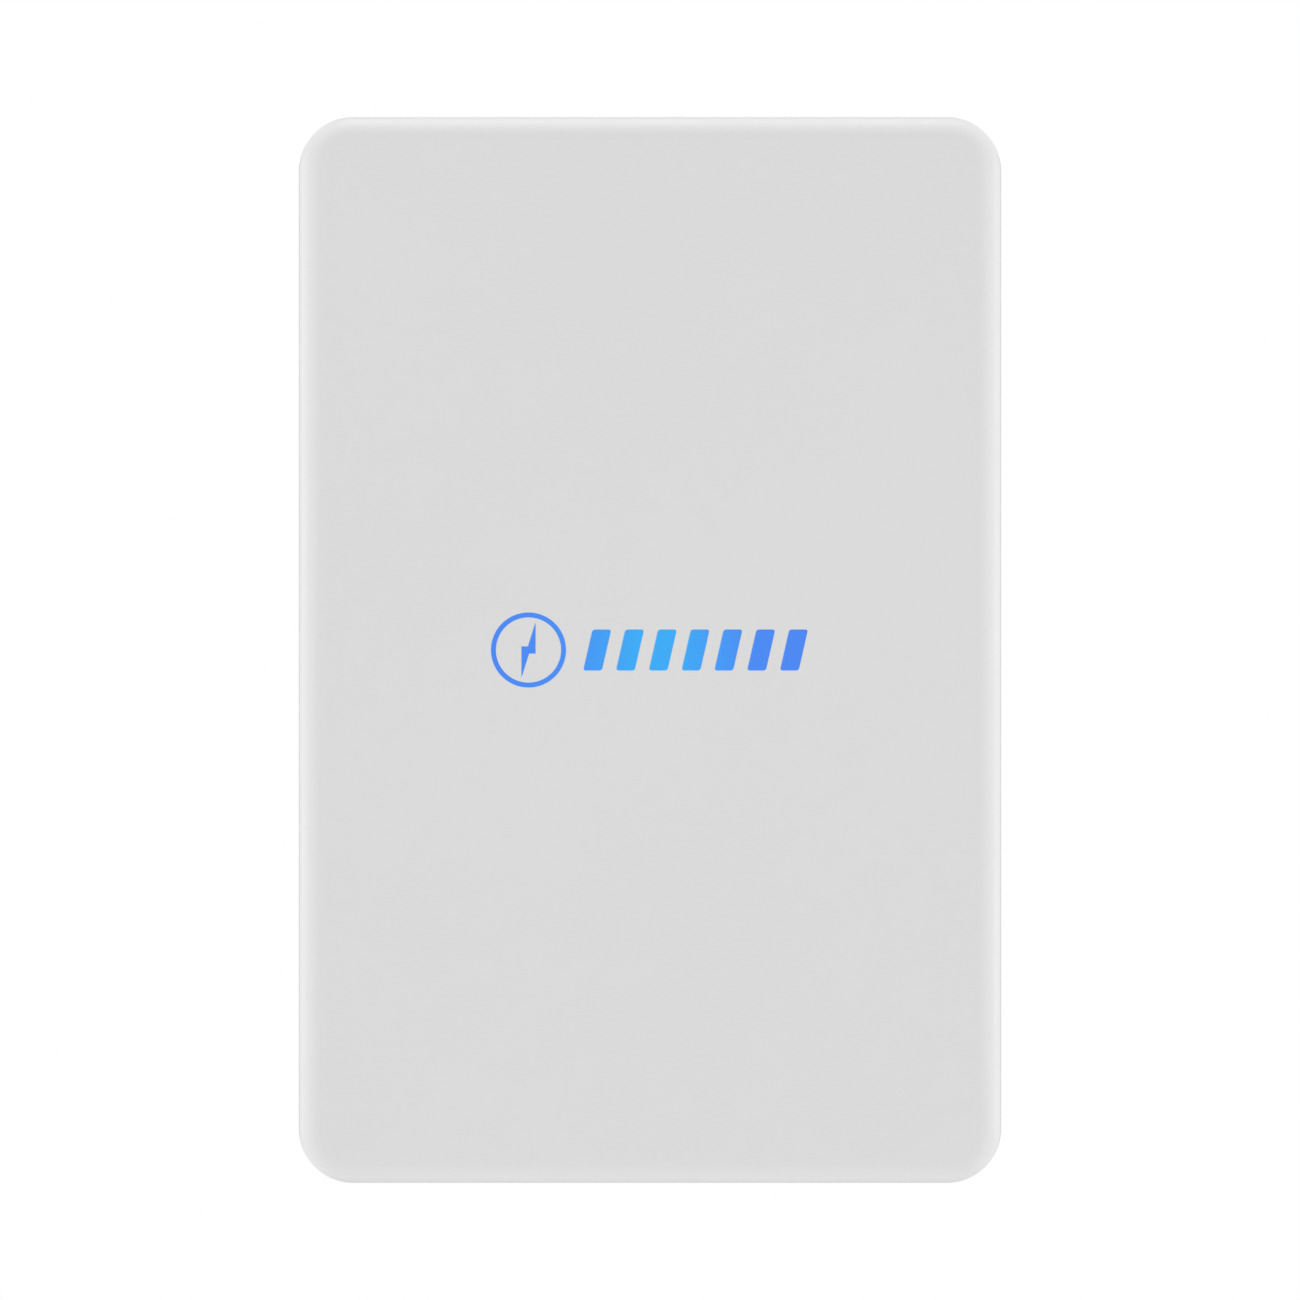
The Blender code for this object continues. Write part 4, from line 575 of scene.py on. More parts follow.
case = {"cornerSteps": 24, "backRounding": 0.004, "wall": 0.002, "backY": -0.022, "stepY": -0.0759,
        "flangeWidth": 0.012, "neckInset": 0.010, "recessHalfWidth": 0.140, "recessHeight": 0.042,
        "recessDepth": 0.044, "beadX": 0.250, "beadHeight": 0.0012, "screwHole": 0.0022,
        "screwZ": (0.350, 0.210, 0.070, -0.070, -0.210, -0.350),
        "screwX": (-0.225, -0.135, -0.045, 0.045, 0.135, 0.225)}
recessY = case["backY"] - case["recessDepth"] / 2
recessTop = cadLow.z + case["recessHeight"]
lidLow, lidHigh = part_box("inner_lid")
neckWidth, neckHeight = lidHigh.x - lidLow.x, lidHigh.z - lidLow.z
neckRadius = front["cornerRadius"] - case["neckInset"]
trayLow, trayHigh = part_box("switch_tray")
trayY, trayZ = (trayLow.y + trayHigh.y) / 2, (trayLow.z + trayHigh.z) / 2
sideScrewX = middle("lid_screw_2").x
endScrewZ = neckHeight / 2 - case["flangeWidth"] / 2
screwSpots = [(side * sideScrewX, z) for side in both for z in case["screwZ"]]
screwSpots += [(x, end * endScrewZ) for end in both for x in case["screwX"]]


def makeRearCase():
    low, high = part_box("rear_case")
    width, height = high.x - low.x, high.z - low.z
    backY, stepY, wall, flange = case["backY"], case["stepY"], case["wall"], case["flangeWidth"]
    radius, steps = front["cornerRadius"], case["cornerSteps"]
    body = slab("case_body", width, height, radius, backY, stepY, steps=steps)
    roundEnd(body, "+Y", case["backRounding"], 6)
    roundEnd(body, "-Y", 0.0008, 3)
    neck = slab("neck", neckWidth, neckHeight, neckRadius, stepY + root, low.y, steps=steps)
    roundEnd(neck, "-Y", 0.0010, 3)
    fuse(body, neck)
    for way in both:
        # a boss for each locking screw, and long pressed beads
        bossBack, bossFront = -0.004, backY - root
        boss = block("boss", (0.016, bossBack - bossFront, 0.024),
                     (middle(lockScrews[way]).x, (bossBack + bossFront) / 2, -0.1524))
        soften(boss, 0.0012, 3)
        bead = slab("bead", 0.010, 0.62, 0.0049, backY + case["beadHeight"], backY - 0.0005,
                    x=way * case["beadX"], z=0.02, steps=8)
        roundEnd(bead, "+Y", 0.0010, 3)
        fuse(body, boss, bead)
    room = slab("room", width - 2 * wall, height - 2 * wall, radius - wall, backY - wall, stepY + wall,
                steps=steps)
    neckRoom = slab("room", neckWidth - 2 * wall, neckHeight - 2 * wall, neckRadius - wall,
                    backY - 2 * wall, low.y + wall, steps=steps)
    mouth = slab("room", neckWidth - 2 * flange, neckHeight - 2 * flange, neckRadius - flange,
                 low.y + 2 * wall, low.y - 0.01, steps=steps)
    fuse(room, neckRoom, mouth)
    half, deep, tall = case["recessHalfWidth"], case["recessDepth"] + 0.02, case["recessHeight"] + 0.02
    recessFront = backY - case["recessDepth"] + deep / 2
    cutOut(room, block("keep", (2 * (half + wall), deep, tall),
                       (0, recessFront - wall, recessTop + wall - tall / 2)))
    notch = block("notch", (2 * half, deep, tall), (0, recessFront, recessTop - tall / 2))
    cutOut(body, room, roundCorners(notch, "Y", 0.004, 4))

    fittings = (("dc_socket_positive", 0.0093, 40), ("dc_socket_negative", 0.0093, 40),
                ("breather_vent", 0.0063, 32), ("earth_stud", 0.0033, 24))
    holes = [rod("hole", bore, 0.02, (middle(node).x, recessY, recessTop), sides=sides)
             for node, bore, sides in fittings]
    sinkAt = middle("heat_sink")
    holes += [block("hole", (0.0406, 0.0226, 0.02), (middle("data_port_block").x, recessY, recessTop)),
              panel("hole", 0.0396, 0.1336, 0.0053, 0.288, 0.312, trayY, trayZ),
              block("hole", (0.1706, 0.02, 0.1106), (sinkAt.x, backY, sinkAt.z))]
    holes += [rod("hole", case["screwHole"], 0.02, (x, low.y, z), "Y", 16) for x, z in screwSpots]
    for node in lockScrews.values():
        at = middle(node)
        holes.append(rod("hole", 0.0025, 0.032, (at.x, at.y, -0.1644), sides=24))
    cutOut(body, gather(*holes))
    settle(body, "casePaint", "rear_case", angle=30)


makeRearCase()
print("rear case done")

bracket = {"sheet": 0.0025, "corner": 0.006, "edge": 0.0002, "pilotRadius": 0.0028, "topLow": 0.250,
           "footHigh": -0.165, "waist": 0.090, "fillet": 0.012, "hookDrop": 0.017, "hookReach": 0.012}


def makeBracket():
    low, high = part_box("wall_bracket")
    thick, topLow, footHigh = bracket["sheet"], bracket["topLow"], bracket["footHigh"]
    shelfZ, width, half = high.z - bracket["hookDrop"], high.x - low.x, bracket["waist"] / 2
    plate = slab("bracket_plate", width, high.z - topLow, bracket["corner"], 0, -thick,
                 z=(high.z + topLow) / 2, steps=6)
    foot = slab("foot", width, footHigh - low.z, bracket["corner"], 0, -thick,
                z=(footHigh + low.z) / 2, steps=6)
    waist = block("waist", (2 * half, thick, topLow - footHigh + 0.012),
                  (0, -thick / 2, (topLow + footHigh) / 2))
    reach = bracket["hookReach"]
    shelf = block("shelf", (width - 0.020, reach - 0.0003, thick), (0, -(reach + 0.0003) / 2, shelfZ))
    lip = block("lip", (width - 0.020, thick, high.z - shelfZ + thick / 2),
                (0, -reach + thick / 2, (high.z + shelfZ - thick / 2) / 2))
    fuse(shelf, lip)
    shape(shelf, "EDGE", lambda edge: runsAlong(edge, "X") and edge.verts[0].co.y < -0.0119
          and edge.verts[0].co.z < shelfZ, bevel(0.0022, 5))
    fuse(plate, foot, waist, shelf)

    def isJunction(edge):
        x, z = edge.verts[0].co.x, edge.verts[0].co.z
        return (runsAlong(edge, "Y") and abs(abs(x) - half) < 1e-4
                and min(abs(z - topLow), abs(z - footHigh)) < 1e-4)

    shape(plate, "EDGE", isJunction, bevel(bracket["fillet"], 8))
    for node in lockScrews.values():
        at = middle(node)
        tab = block("tab", (0.016, 0.017, thick), (at.x, -0.0088, footHigh - thick / 2))
        shape(tab, "EDGE", lambda edge: runsAlong(edge, "Z") and edge.verts[0].co.y < -0.015,
              bevel(0.003, 5))
        cutOut(tab, rod("hole", 0.0025, 0.02, (at.x, at.y, footHigh), sides=24))
        fuse(plate, tab)
    upperZ, lowerZ = (topLow + shelfZ) / 2, (low.z + footHigh) / 2 - 0.004
    slots = [(x, upperZ) for x in (-0.170, 0, 0.170)] + [(x, lowerZ) for x in (-0.170, 0.170)]
    pilots = [(x, upperZ) for x in (-0.110, -0.055, 0.055, 0.110)]
    pilots += [(x, lowerZ) for x in (-0.110, 0, 0.110)] + [(0, z) for z in (0.14, 0.04, -0.06)]
    holes = [slab("slot", 0.016, 0.008, 0.0039, 0.01, -0.02, x=x, z=z, steps=8) for x, z in slots]
    holes += [rod("pilot", bracket["pilotRadius"], 0.03, (x, -0.001, z), "Y", 24) for x, z in pilots]
    cutOut(plate, gather(*holes))
    # long pressed beads stiffen the waist
    for way in both:
        bead = slab("bead", 0.008, 0.30, 0.0039, -thick + 0.0004, -thick - 0.0014, x=way * 0.026,
                    z=0.042, steps=8)
        fuse(plate, roundEnd(bead, "-Y", 0.0012, 3))
    soften(plate, bracket["edge"], 1, 60)
    settle(plate, "zinc", "wall_bracket")


makeBracket()

hanger = {"sheet": 0.003, "hookZ": 0.3495, "bend": 0.0024, "corner": 0.008, "rivetZ": 0.366,
          "rivetX": (-0.150, -0.090, -0.030, 0.030, 0.090, 0.150)}


def makeHangerRail():
    low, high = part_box("hanger_rail")
    thick, topZ = hanger["sheet"], hanger["hookZ"]
    size = high - low
    rail = block("rail_hook", size, (0, (high.y + low.y) / 2, (high.z + low.z) / 2))
    for way in both:
        cutOut(rail, block("hollow", (size.x + 0.02, size.y, size.z),
                           (0, low.y + way * thick + size.y / 2, topZ + way * (thick + size.z) / 2)))
    shape(rail, "EDGE", lambda edge: runsAlong(edge, "X") and abs(edge.verts[0].co.z - topZ) < 0.0016
          and edge.verts[0].co.y > high.y - 1e-4, bevel(hanger["bend"], 5))
    shape(rail, "EDGE", lambda edge: runsAlong(edge, "Y") and edge.verts[0].co.z > high.z - 1e-4,
          bevel(hanger["corner"], 6))
    soften(rail, 0.0003, 2, 50)
    settle(rail, "zinc", "hanger_rail")
    firstX, *others = hanger["rivetX"]
    seat = low.y + thick
    first = span("rail_rivets", 0.0042, seat, seat + 0.0016, (firstX, 0, hanger["rivetZ"]), "Y", 32)
    roundEnd(first, "+Y", 0.0012, 4)
    pressEnd(first, "+Y", 0.0009, (0, -0.0007, 0))
    settle(gather(first, *[copyOf(first, "rivet", (x - firstX, 0, 0)) for x in others]), "stainless")


makeHangerRail()


def makeLockScrews():
    for word, node in zip(("left", "right"), lockScrews.values()):
        at, top = middle(node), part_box(node)[1].z
        seat = -0.1678
        head = span(f"locking_screw_{word}", 0.005, seat - 0.0035, seat - 0.0002, at)
        roundEnd(head, "-Z", 0.0009, 4)
        cutOut(head, rod("socket", 0.0026, 0.004, (at.x, at.y, seat - 0.0035), sides=6))
        shank = span("shank", 0.0021, seat + 0.0004, top - 0.0002, at, sides=24)
        roundEnd(shank, "+Z", 0.0009, 2)
        threads = [rod("thread", 0.0022, 0.00045, (at.x, at.y, seat + 0.003 + turn * 0.0009), sides=24)
                   for turn in range(12)]
        fuse(head, shank, gather(*threads))
        settle(head, "stainless", node)


makeLockScrews()
print("wall bracket and hanger rail done")

lid = {"fieldX": (-0.176, 0.0, 0.176), "fieldZ": (-0.285, 0.0, 0.285), "beadWidth": 0.010,
       "beadHeight": 0.0009, "grommetHole": 0.0050}


def makeLid():
    sheet = slab("lid_panel", neckWidth, neckHeight, neckRadius, lidHigh.y, lidLow.y, steps=24)
    roundEnd(sheet, "-Y", 0.0003, 2)
    # nine pressed fields, each a raised ring
    raised = lid["beadHeight"]
    for x in lid["fieldX"]:
        for z in lid["fieldZ"]:
            ring = slab("ring", 0.150, 0.250, 0.022, lidLow.y + 0.0003, lidLow.y - raised, x=x, z=z, steps=10)
            pressEnd(ring, "-Y", lid["beadWidth"], (0, raised - 0.0001, 0))
            fuse(sheet, roundEnd(ring, "-Y", 0.0007, 2, sharp=0.5))
    holes = [rod("hole", case["screwHole"], 0.02, (x, lidLow.y, z), "Y", 20) for x, z in screwSpots]
    for node in grommets:
        at = middle(node)
        holes.append(rod("hole", lid["grommetHole"], 0.02, (at.x, lidLow.y, at.z), "Y", 40))
    cutOut(sheet, gather(*holes))
    settle(sheet, "aluminium", "inner_lid", angle=25)
    settle(redraw("lid_gasket", "lid_seal", 0.0004), "rubber", "lid_gasket")


makeLid()


def makeLidScrews():
    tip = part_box("lid_screw_1")[1].y
    seat = lidLow.y - 0.0003
    x, z = screwSpots[0]
    head = span("lid_fixing", 0.0037, seat - 0.0022, seat, (x, 0, z), "Y", 36)
    roundEnd(head, "-Y", 0.0012, 4)
    cutOut(head, rod("socket", 0.0017, 0.0026, (x, seat - 0.0022, z), "Y", 6))
    washer = span("washer", 0.0042, seat - 0.0005, seat, (x, 0, z), "Y", 36)
    shank = span("shank", 0.0018, seat, tip, (x, 0, z), "Y", 16)
    roundEnd(shank, "+Y", 0.0008, 2)
    fuse(head, washer, shank)
    cadSpots = {number: middle(f"lid_screw_{number}") for number in range(1, 5)}
    extra = []
    for spotX, spotZ in screwSpots:
        copy = copyOf(head, "lid_fixings", (spotX - x, 0, spotZ - z))
        match = [n for n, at in cadSpots.items() if abs(at.x - spotX) < 1e-3 and abs(at.z - spotZ) < 1e-3]
        if match:
            copy.name = f"lid_fixing_{match[0]}"
            settle(copy, "stainless", f"lid_screw_{match[0]}")
        else:
            extra.append(copy)
    settle(gather(*extra), "stainless")
    bpy.data.objects.remove(head)


makeLidScrews()
for number, node in enumerate(grommets, 1):
    settle(redraw(node, f"grommet_ring_{number}", 0.0003), "rubber", node)
print("lid, screws and grommets done")

tray = {"wall": 0.0015, "radius": 0.005, "lip": 0.003, "lipThickness": 0.002, "lipSink": 0.0023,
        "depth": 0.014, "noseWindow": (0.0266, 0.0456), "buttonHole": 0.0063, "collarRadius": 0.0086,
        "lightWindow": (0.0126, 0.0036), "markHeight": 0.0004, "signZ": 0.0300,
        "hingeX": 0.2976, "hingeZ": -0.2474}
floorX = trayHigh.x - tray["depth"]
breakerZ, buttonZ = middle("dc_breaker").z, middle("power_button").z


def makeTray():
    lip, wall, radius = tray["lip"], tray["wall"], tray["radius"]
    width, height = trayHigh.y - trayLow.y - 2 * lip, trayHigh.z - trayLow.z - 2 * lip
    shell = panel("tray_shell", width, height, radius, trayLow.x, trayHigh.x, trayY, trayZ)
    lipHigh = trayHigh.x - tray["lipSink"]
    rim = panel("rim", width + 2 * lip, height + 2 * lip, radius + lip, lipHigh - tray["lipThickness"],
                lipHigh, trayY, trayZ)
    fuse(shell, rim)
    cutOut(shell, panel("hollow", width - 2 * wall, height - 2 * wall, radius - wall, floorX,
                        floorX + 0.03, trayY, trayZ))
    roundEnd(shell, "+X", 0.0005, 3)

    def window(size, extra, radius, z, right=0.295):
        return panel("hole", size[0] + extra, size[1] + extra, radius, 0.27, right, trayY, z, 4)

    nose, floor = tray["noseWindow"], (floorX, trayY, buttonZ)
    holes = [window(nose, 0, 0.0012, breakerZ), rod("hole", tray["buttonHole"], 0.02, floor, "X", 64),
             window(tray["lightWindow"], 0, 0.0006, middle("status_light").z),
             rod("hole", 0.0011, width - 2 * wall + 0.002, (tray["hingeX"], trayY, tray["hingeZ"]), "Y", 20)]
    cutOut(shell, gather(*holes))
    # raised frame round the breaker nose and collar round the button
    noseFrame = panel("ring", nose[0] + 0.004, nose[1] + 0.004, 0.0025, floorX - 0.0004,
                      floorX + 0.0006, trayY, breakerZ, 5)
    cutOut(noseFrame, window(nose, 0.0012, 0.0016, breakerZ, 0.30))
    collar = span("ring", tray["collarRadius"], floorX - 0.0004, floorX + 0.0012, floor, "X", 64)
    cutOut(collar, rod("hole", tray["collarRadius"] - 0.0016, 0.02, floor, "X", 64))
    fuse(shell, noseFrame, roundEnd(collar, "+X", 0.0003, 2))
    settle(shell, "greyPlastic", "switch_tray")
    # raised on and off marks and two lines beside the lever
    x, raised = floorX + 0.0001, tray["markHeight"]
    onMark = block("tray_marks", (raised, 0.0010, 0.0052), (x, trayY, breakerZ + tray["signZ"]))
    offMark = rod("ring", 0.0026, raised, (x, trayY, breakerZ - tray["signZ"]), "X", 40)
    cutOut(offMark, rod("hole", 0.0017, 0.01, (floorX, trayY, breakerZ - tray["signZ"]), "X", 40))
    lines = [block("line", (raised, 0.0006, 0.024), (x, trayY + way * 0.0156, breakerZ)) for way in both]
    settle(gather(onMark, offMark, *lines), "whitePlastic")


makeTray()

breaker = {"front": 0.2842, "depth": 0.050, "width": 0.034, "height": 0.078, "noseOut": 0.003,
           "nose": (0.026, 0.045), "axisSink": 0.004, "toggleRadius": 0.007, "toggleWidth": 0.014,
           "lean": 35, "reach": 0.0115, "leverThickness": 0.004, "poleY": 0.0090, "screwZ": 0.0330}


def makeBreaker():
    deep, wide, tall = breaker["depth"], breaker["width"], breaker["height"]
    front = breaker["front"]
    x = front - deep / 2
    body = block("breaker_body", (deep, wide, tall), (x, trayY, breakerZ))
    roundCorners(body, "Y", 0.0016, 4)
    noseX, noseBack = floorX + breaker["noseOut"], front - 0.002
    nose = block("nose", (noseX - noseBack, *breaker["nose"]), ((noseX + noseBack) / 2, trayY, breakerZ))
    fuse(body, roundEnd(nose, "+X", 0.0008, 3))
    axisX = noseX - breaker["axisSink"]
    axis = (axisX, trayY, breakerZ)
    cutters = [rod("drum", breaker["toggleRadius"] + 0.0005, breaker["toggleWidth"] + root, axis, "Y", 48)]
    for way in both:
        # the seam between the poles and the body's own joint line
        end = breakerZ + way * tall / 2
        cutters += [block("seam", (deep - 0.006, 0.0006, 0.0012), (x - 0.001, trayY, end)),
                    block("seam", (0.0005, wide + 0.01, 0.0005), (x + 0.010, trayY, breakerZ + way * 0.0392))]
        for side in both:
            pole = trayY + side * breaker["poleY"]
            screw = (front, pole, breakerZ + way * breaker["screwZ"])
            cutters += [rod("terminal", 0.0046, 0.014, (x, pole, end), "Z", 32),
                        rod("driver", 0.0030, 0.010, screw, "X", 24)]
    cutters.append(block("foot", (0.0050, wide + 0.01, 0.0352), (x - deep / 2, trayY, breakerZ)))
    cutOut(body, *cutters)
    for z in (-0.020, -0.010, 0.010, 0.020):
        for side in both:
            rib = (x - 0.004, trayY + side * wide / 2, breakerZ + z)
            fuse(body, block("rib", (0.024, 0.0010, 0.0016), rib))
    settle(body, "blackPlastic", "dc_breaker")
    screws = []
    for way, side in ((a, b) for a in both for b in both):
        pole, z = trayY + side * breaker["poleY"], breakerZ + way * breaker["screwZ"]
        head = rod("breaker_screws", 0.0028, 0.0030, (front - 0.0035, pole, z), "X", 24)
        cutOut(head, block("slot", (0.0016, 0.0008, 0.0048), (front - 0.0022, pole, z)))
        screws += [head, rod("clamp", 0.0044, 0.0040, (x, pole, z + way * 0.0015), "Z", 24)]
    settle(gather(*screws), "stainless")

    drum = rod("toggle", breaker["toggleRadius"], breaker["toggleWidth"], axis, "Y", 64)
    roundRims(drum, "Y", 0.0003, 2)
    reach, thick = breaker["reach"], breaker["leverThickness"]
    lever = block("lever", (reach, breaker["toggleWidth"], thick), (axisX + reach / 2, trayY, breakerZ))
    shape(lever, "EDGE", lambda edge: runsAlong(edge, "Y") and edge.verts[0].co.x > axisX + 0.009,
          bevel(0.0014, 5))
    soften(lever, 0.0004, 2, 40)
    for number in range(3):
        for side in both:
            cutOut(lever, rod("grip", 0.0004, 0.011, (axisX + reach - 0.0022 - number * 0.0011, trayY,
                                                      breakerZ + side * thick / 2), "Y", 12))
    pick(lever)
    bpy.ops.transform.rotate(value=math.radians(breaker["lean"]), orient_axis="Y",
                             center_override=axis)
    applyMoves()
    settle(fuse(drum, lever), "whitePlastic", "breaker_toggle", body="breaker_toggle")


makeBreaker()

flap = {"sheet": 0.0016, "corner": 0.0030, "barrelRadius": 0.0021, "pinRadius": 0.0010}


def makeBreakerFlap():
    low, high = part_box("breaker_flap")
    width, axisX, axisZ = high.y - low.y, tray["hingeX"], tray["hingeZ"]
    axis = (axisX, trayY, axisZ)
    plate = panel("window_flap", width, axisZ - low.z, flap["corner"], high.x - flap["sheet"], high.x,
                  trayY, (axisZ + low.z) / 2)
    soften(plate, 0.0003, 2, 40)
    barrel = rod("barrel", flap["barrelRadius"], width, axis, "Y", 40)
    cutOut(barrel, block("gap", (0.006, 0.0100, 0.006), (axisX - 0.0030, trayY, axisZ)))
    pull = block("pull", (0.0030, width / 2, 0.0025), (high.x - 0.0015, trayY, low.z + 0.00125))
    fuse(plate, barrel, soften(pull, 0.0005, 2, 40))
    cutOut(plate, rod("bore", 0.0013, width + 0.02, axis, "Y", 24))
    for z in (0.0062, 0.0078, 0.0094):
        fuse(plate, rod("grip", 0.0003, width * 0.4, (high.x - 0.0001, trayY, low.z + z), "Y", 10))
    settle(plate, "clearPlastic", "breaker_flap", body="breaker_flap")
    pinLow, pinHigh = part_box("flap_hinge_pin")
    pin = rod("hinge_pin", flap["pinRadius"], pinHigh.y - pinLow.y, axis, "Y", 24)
    settle(roundRims(pin, "Y", 0.0003, 2), "stainless", "flap_hinge_pin")


makeBreakerFlap()

button = {"radius": 0.006, "rimRadius": 0.0076, "rimThickness": 0.0015, "stemRadius": 0.0022,
          "travel": 0.002, "dish": 0.0002}


def makeButton():
    low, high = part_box("power_button")
    at = (0, trayY, buttonZ)
    under = floorX - 0.0018
    cap = span("push_button", button["radius"], under, high.x, at, "X", 64)
    roundEnd(cap, "+X", 0.0008, 4)
    pressEnd(cap, "+X", 0.0006, (-button["dish"], 0, 0))
    rimLow = under - button["rimThickness"]
    rim = span("rim", button["rimRadius"], rimLow, under, at, "X", 48)
    stem = span("stem", button["stemRadius"], low.x, rimLow + root, at, "X", 32)
    soften(stem, 0.0003, 2, 40)
    settle(fuse(cap, rim, stem), "whitePlastic", "power_button", body="power_button")
    # generic power sign: a ring broken at the top by a short bar
    thick = 0.00024
    level = high.x - 0.00018
    ring = tube("button_sign", 0.0027, 0.0022, thick, (level, trayY, buttonZ), "X")
    cutOut(ring, block("gap", (0.01, 0.0017, 0.004), (level, trayY, buttonZ + 0.0024)))
    bar = block("bar", (thick, 0.0005, 0.0026), (level, trayY, buttonZ + 0.0019))
    settle(gather(ring, bar), "greyInk", body="power_button")
    switch = block("tact_switch", (0.008, 0.014, 0.014), middle("button_switch"))
    soften(switch, 0.0008, 3)
    fuse(switch, rod("plunger", 0.0028, 0.0004, (0.2750, trayY, buttonZ), "X", 32))
    for side in both:
        cutOut(switch, block("seam", (0.0004, 0.0006, 0.02), (0.2715, trayY + side * 0.0071, buttonZ)))
    settle(switch, "blackPlastic", "button_switch")
    # the return spring gets a mesh of its own
    coil = settle(redraw("button_spring", "return_spring"), "stainless", "button_spring", angle=60)
    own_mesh(coil)
    lens = redraw("status_light", "light_bar", 0.0004, 3)
    settle(pressEnd(lens, "+X", 0.0003, (0.00012, 0, 0)), "lightPipe", "status_light")


makeButton()
print("switch tray done")

socket = {"flange": 0.032, "flangeThickness": 0.003, "flangeCorner": 0.005, "radius": 0.013,
          "bore": 0.010, "depth": 0.018, "contact": 0.004, "tailRadius": 0.009, "screwAt": 0.0122,
          "screwRadius": 0.0021, "keyAt": 0.0094}
under = recessTop - 0.0003


def makeSocket(word, finish, keyAngles):
    node = f"dc_socket_{word}"
    name = f"{word}_socket"
    x, top = middle(node).x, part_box(node)[1].z
    at = (x, recessY, 0)
    face, end = under - socket["flangeThickness"], under - socket["depth"]
    flange = plaque(name, socket["flange"], socket["flange"], socket["flangeCorner"], face, under, x, recessY)
    roundEnd(flange, "-Z", 0.0006, 3)
    # polarity sign on the flange's front side
    fuse(flange, block("sign", (0.0046, 0.0011, 0.0006), (x, recessY - 0.0145, face)))
    if word == "positive":
        fuse(flange, block("sign", (0.0011, 0.0030, 0.0006), (x, recessY - 0.0144, face)))
    sleeve = span("sleeve", socket["radius"], end, under + root, at, sides=72)
    ring = rod("ring", socket["radius"] + 0.0006, 0.0024, (x, recessY, under - socket["depth"] * 0.62),
               sides=72)
    tail = span("tail", socket["tailRadius"], under - root, top, at, sides=56)
    fuse(flange, roundEnd(sleeve, "-Z", 0.0007, 3), soften(ring, 0.0004), roundEnd(tail, "+Z", 0.0016, 4))
    cutOut(flange, span("bore", socket["bore"], face - socket["depth"], face, at, sides=72))
    # key ribs inside the bore
    keys = []
    for turn in map(math.radians, keyAngles):
        spot = (x + socket["keyAt"] * math.cos(turn), recessY + socket["keyAt"] * math.sin(turn),
                face - 0.0060)
        keys.append(block("key", (0.0016, 0.0022, 0.0120), spot, turn))
    fuse(flange, *keys, rod("seat", 0.0052, 0.0020, (x, recessY, face - 0.0009)))
    corners = [(a * socket["screwAt"], b * socket["screwAt"]) for a in both for b in both]
    holes = [rod("hole", socket["screwRadius"] + 0.0004, 0.0024, (x + dx, recessY + dy, face - 0.0002),
                 sides=28) for dx, dy in corners]
    cutOut(flange, gather(*holes))
    settle(flange, finish, node, angle=30)
    contact = rod(name + "_contact", socket["contact"], 0.0125, (x, recessY, face - 0.0075))
    roundEnd(contact, "-Z", 0.0010, 4)
    cutOut(contact, rod("bore", 0.0018, 0.008, (x, recessY, under - 0.0165), sides=24),
           block("split", (0.0006, 0.02, 0.0075), (x, recessY, under - 0.0150)),
           block("split", (0.02, 0.0006, 0.0075), (x, recessY, under - 0.0150)))
    settle(contact, "gold")
    startX, startY = x + socket["screwAt"], recessY + socket["screwAt"]
    first = rod(name + "_screws", socket["screwRadius"], 0.0013, (startX, startY, face - 0.0001), sides=28)
    roundEnd(first, "-Z", 0.0004, 2)
    for turn in (0, math.pi / 2):
        cutOut(first, block("slot", (0.0022, 0.0005, 0.0012), (startX, startY, face - 0.0009), turn))
    pitch = -2 * socket["screwAt"]
    others = [copyOf(first, "screw", move) for move in ((pitch, 0, 0), (0, pitch, 0), (pitch, pitch, 0))]
    settle(gather(first, *others), "stainless")


makeSocket("positive", "orangePlastic", (0, 120, 240))
makeSocket("negative", "blackPlastic", (60, 180, 300))

port = {"x": -0.012, "width": 0.054, "depth": 0.030, "thickness": 0.002, "body": (0.040, 0.022, 0.022),
        "jack": (0.012, 0.009, 0.014), "latch": (0.0060, 0.0030), "spacing": 0.019, "ear": 0.002,
        "pivotOut": 0.0115, "pivotDrop": 0.0035, "pivotRadius": 0.0010, "doorThickness": 0.0015,
        "contacts": 8, "contactPitch": 0.00102, "screwAt": (0.0225, -0.0095)}


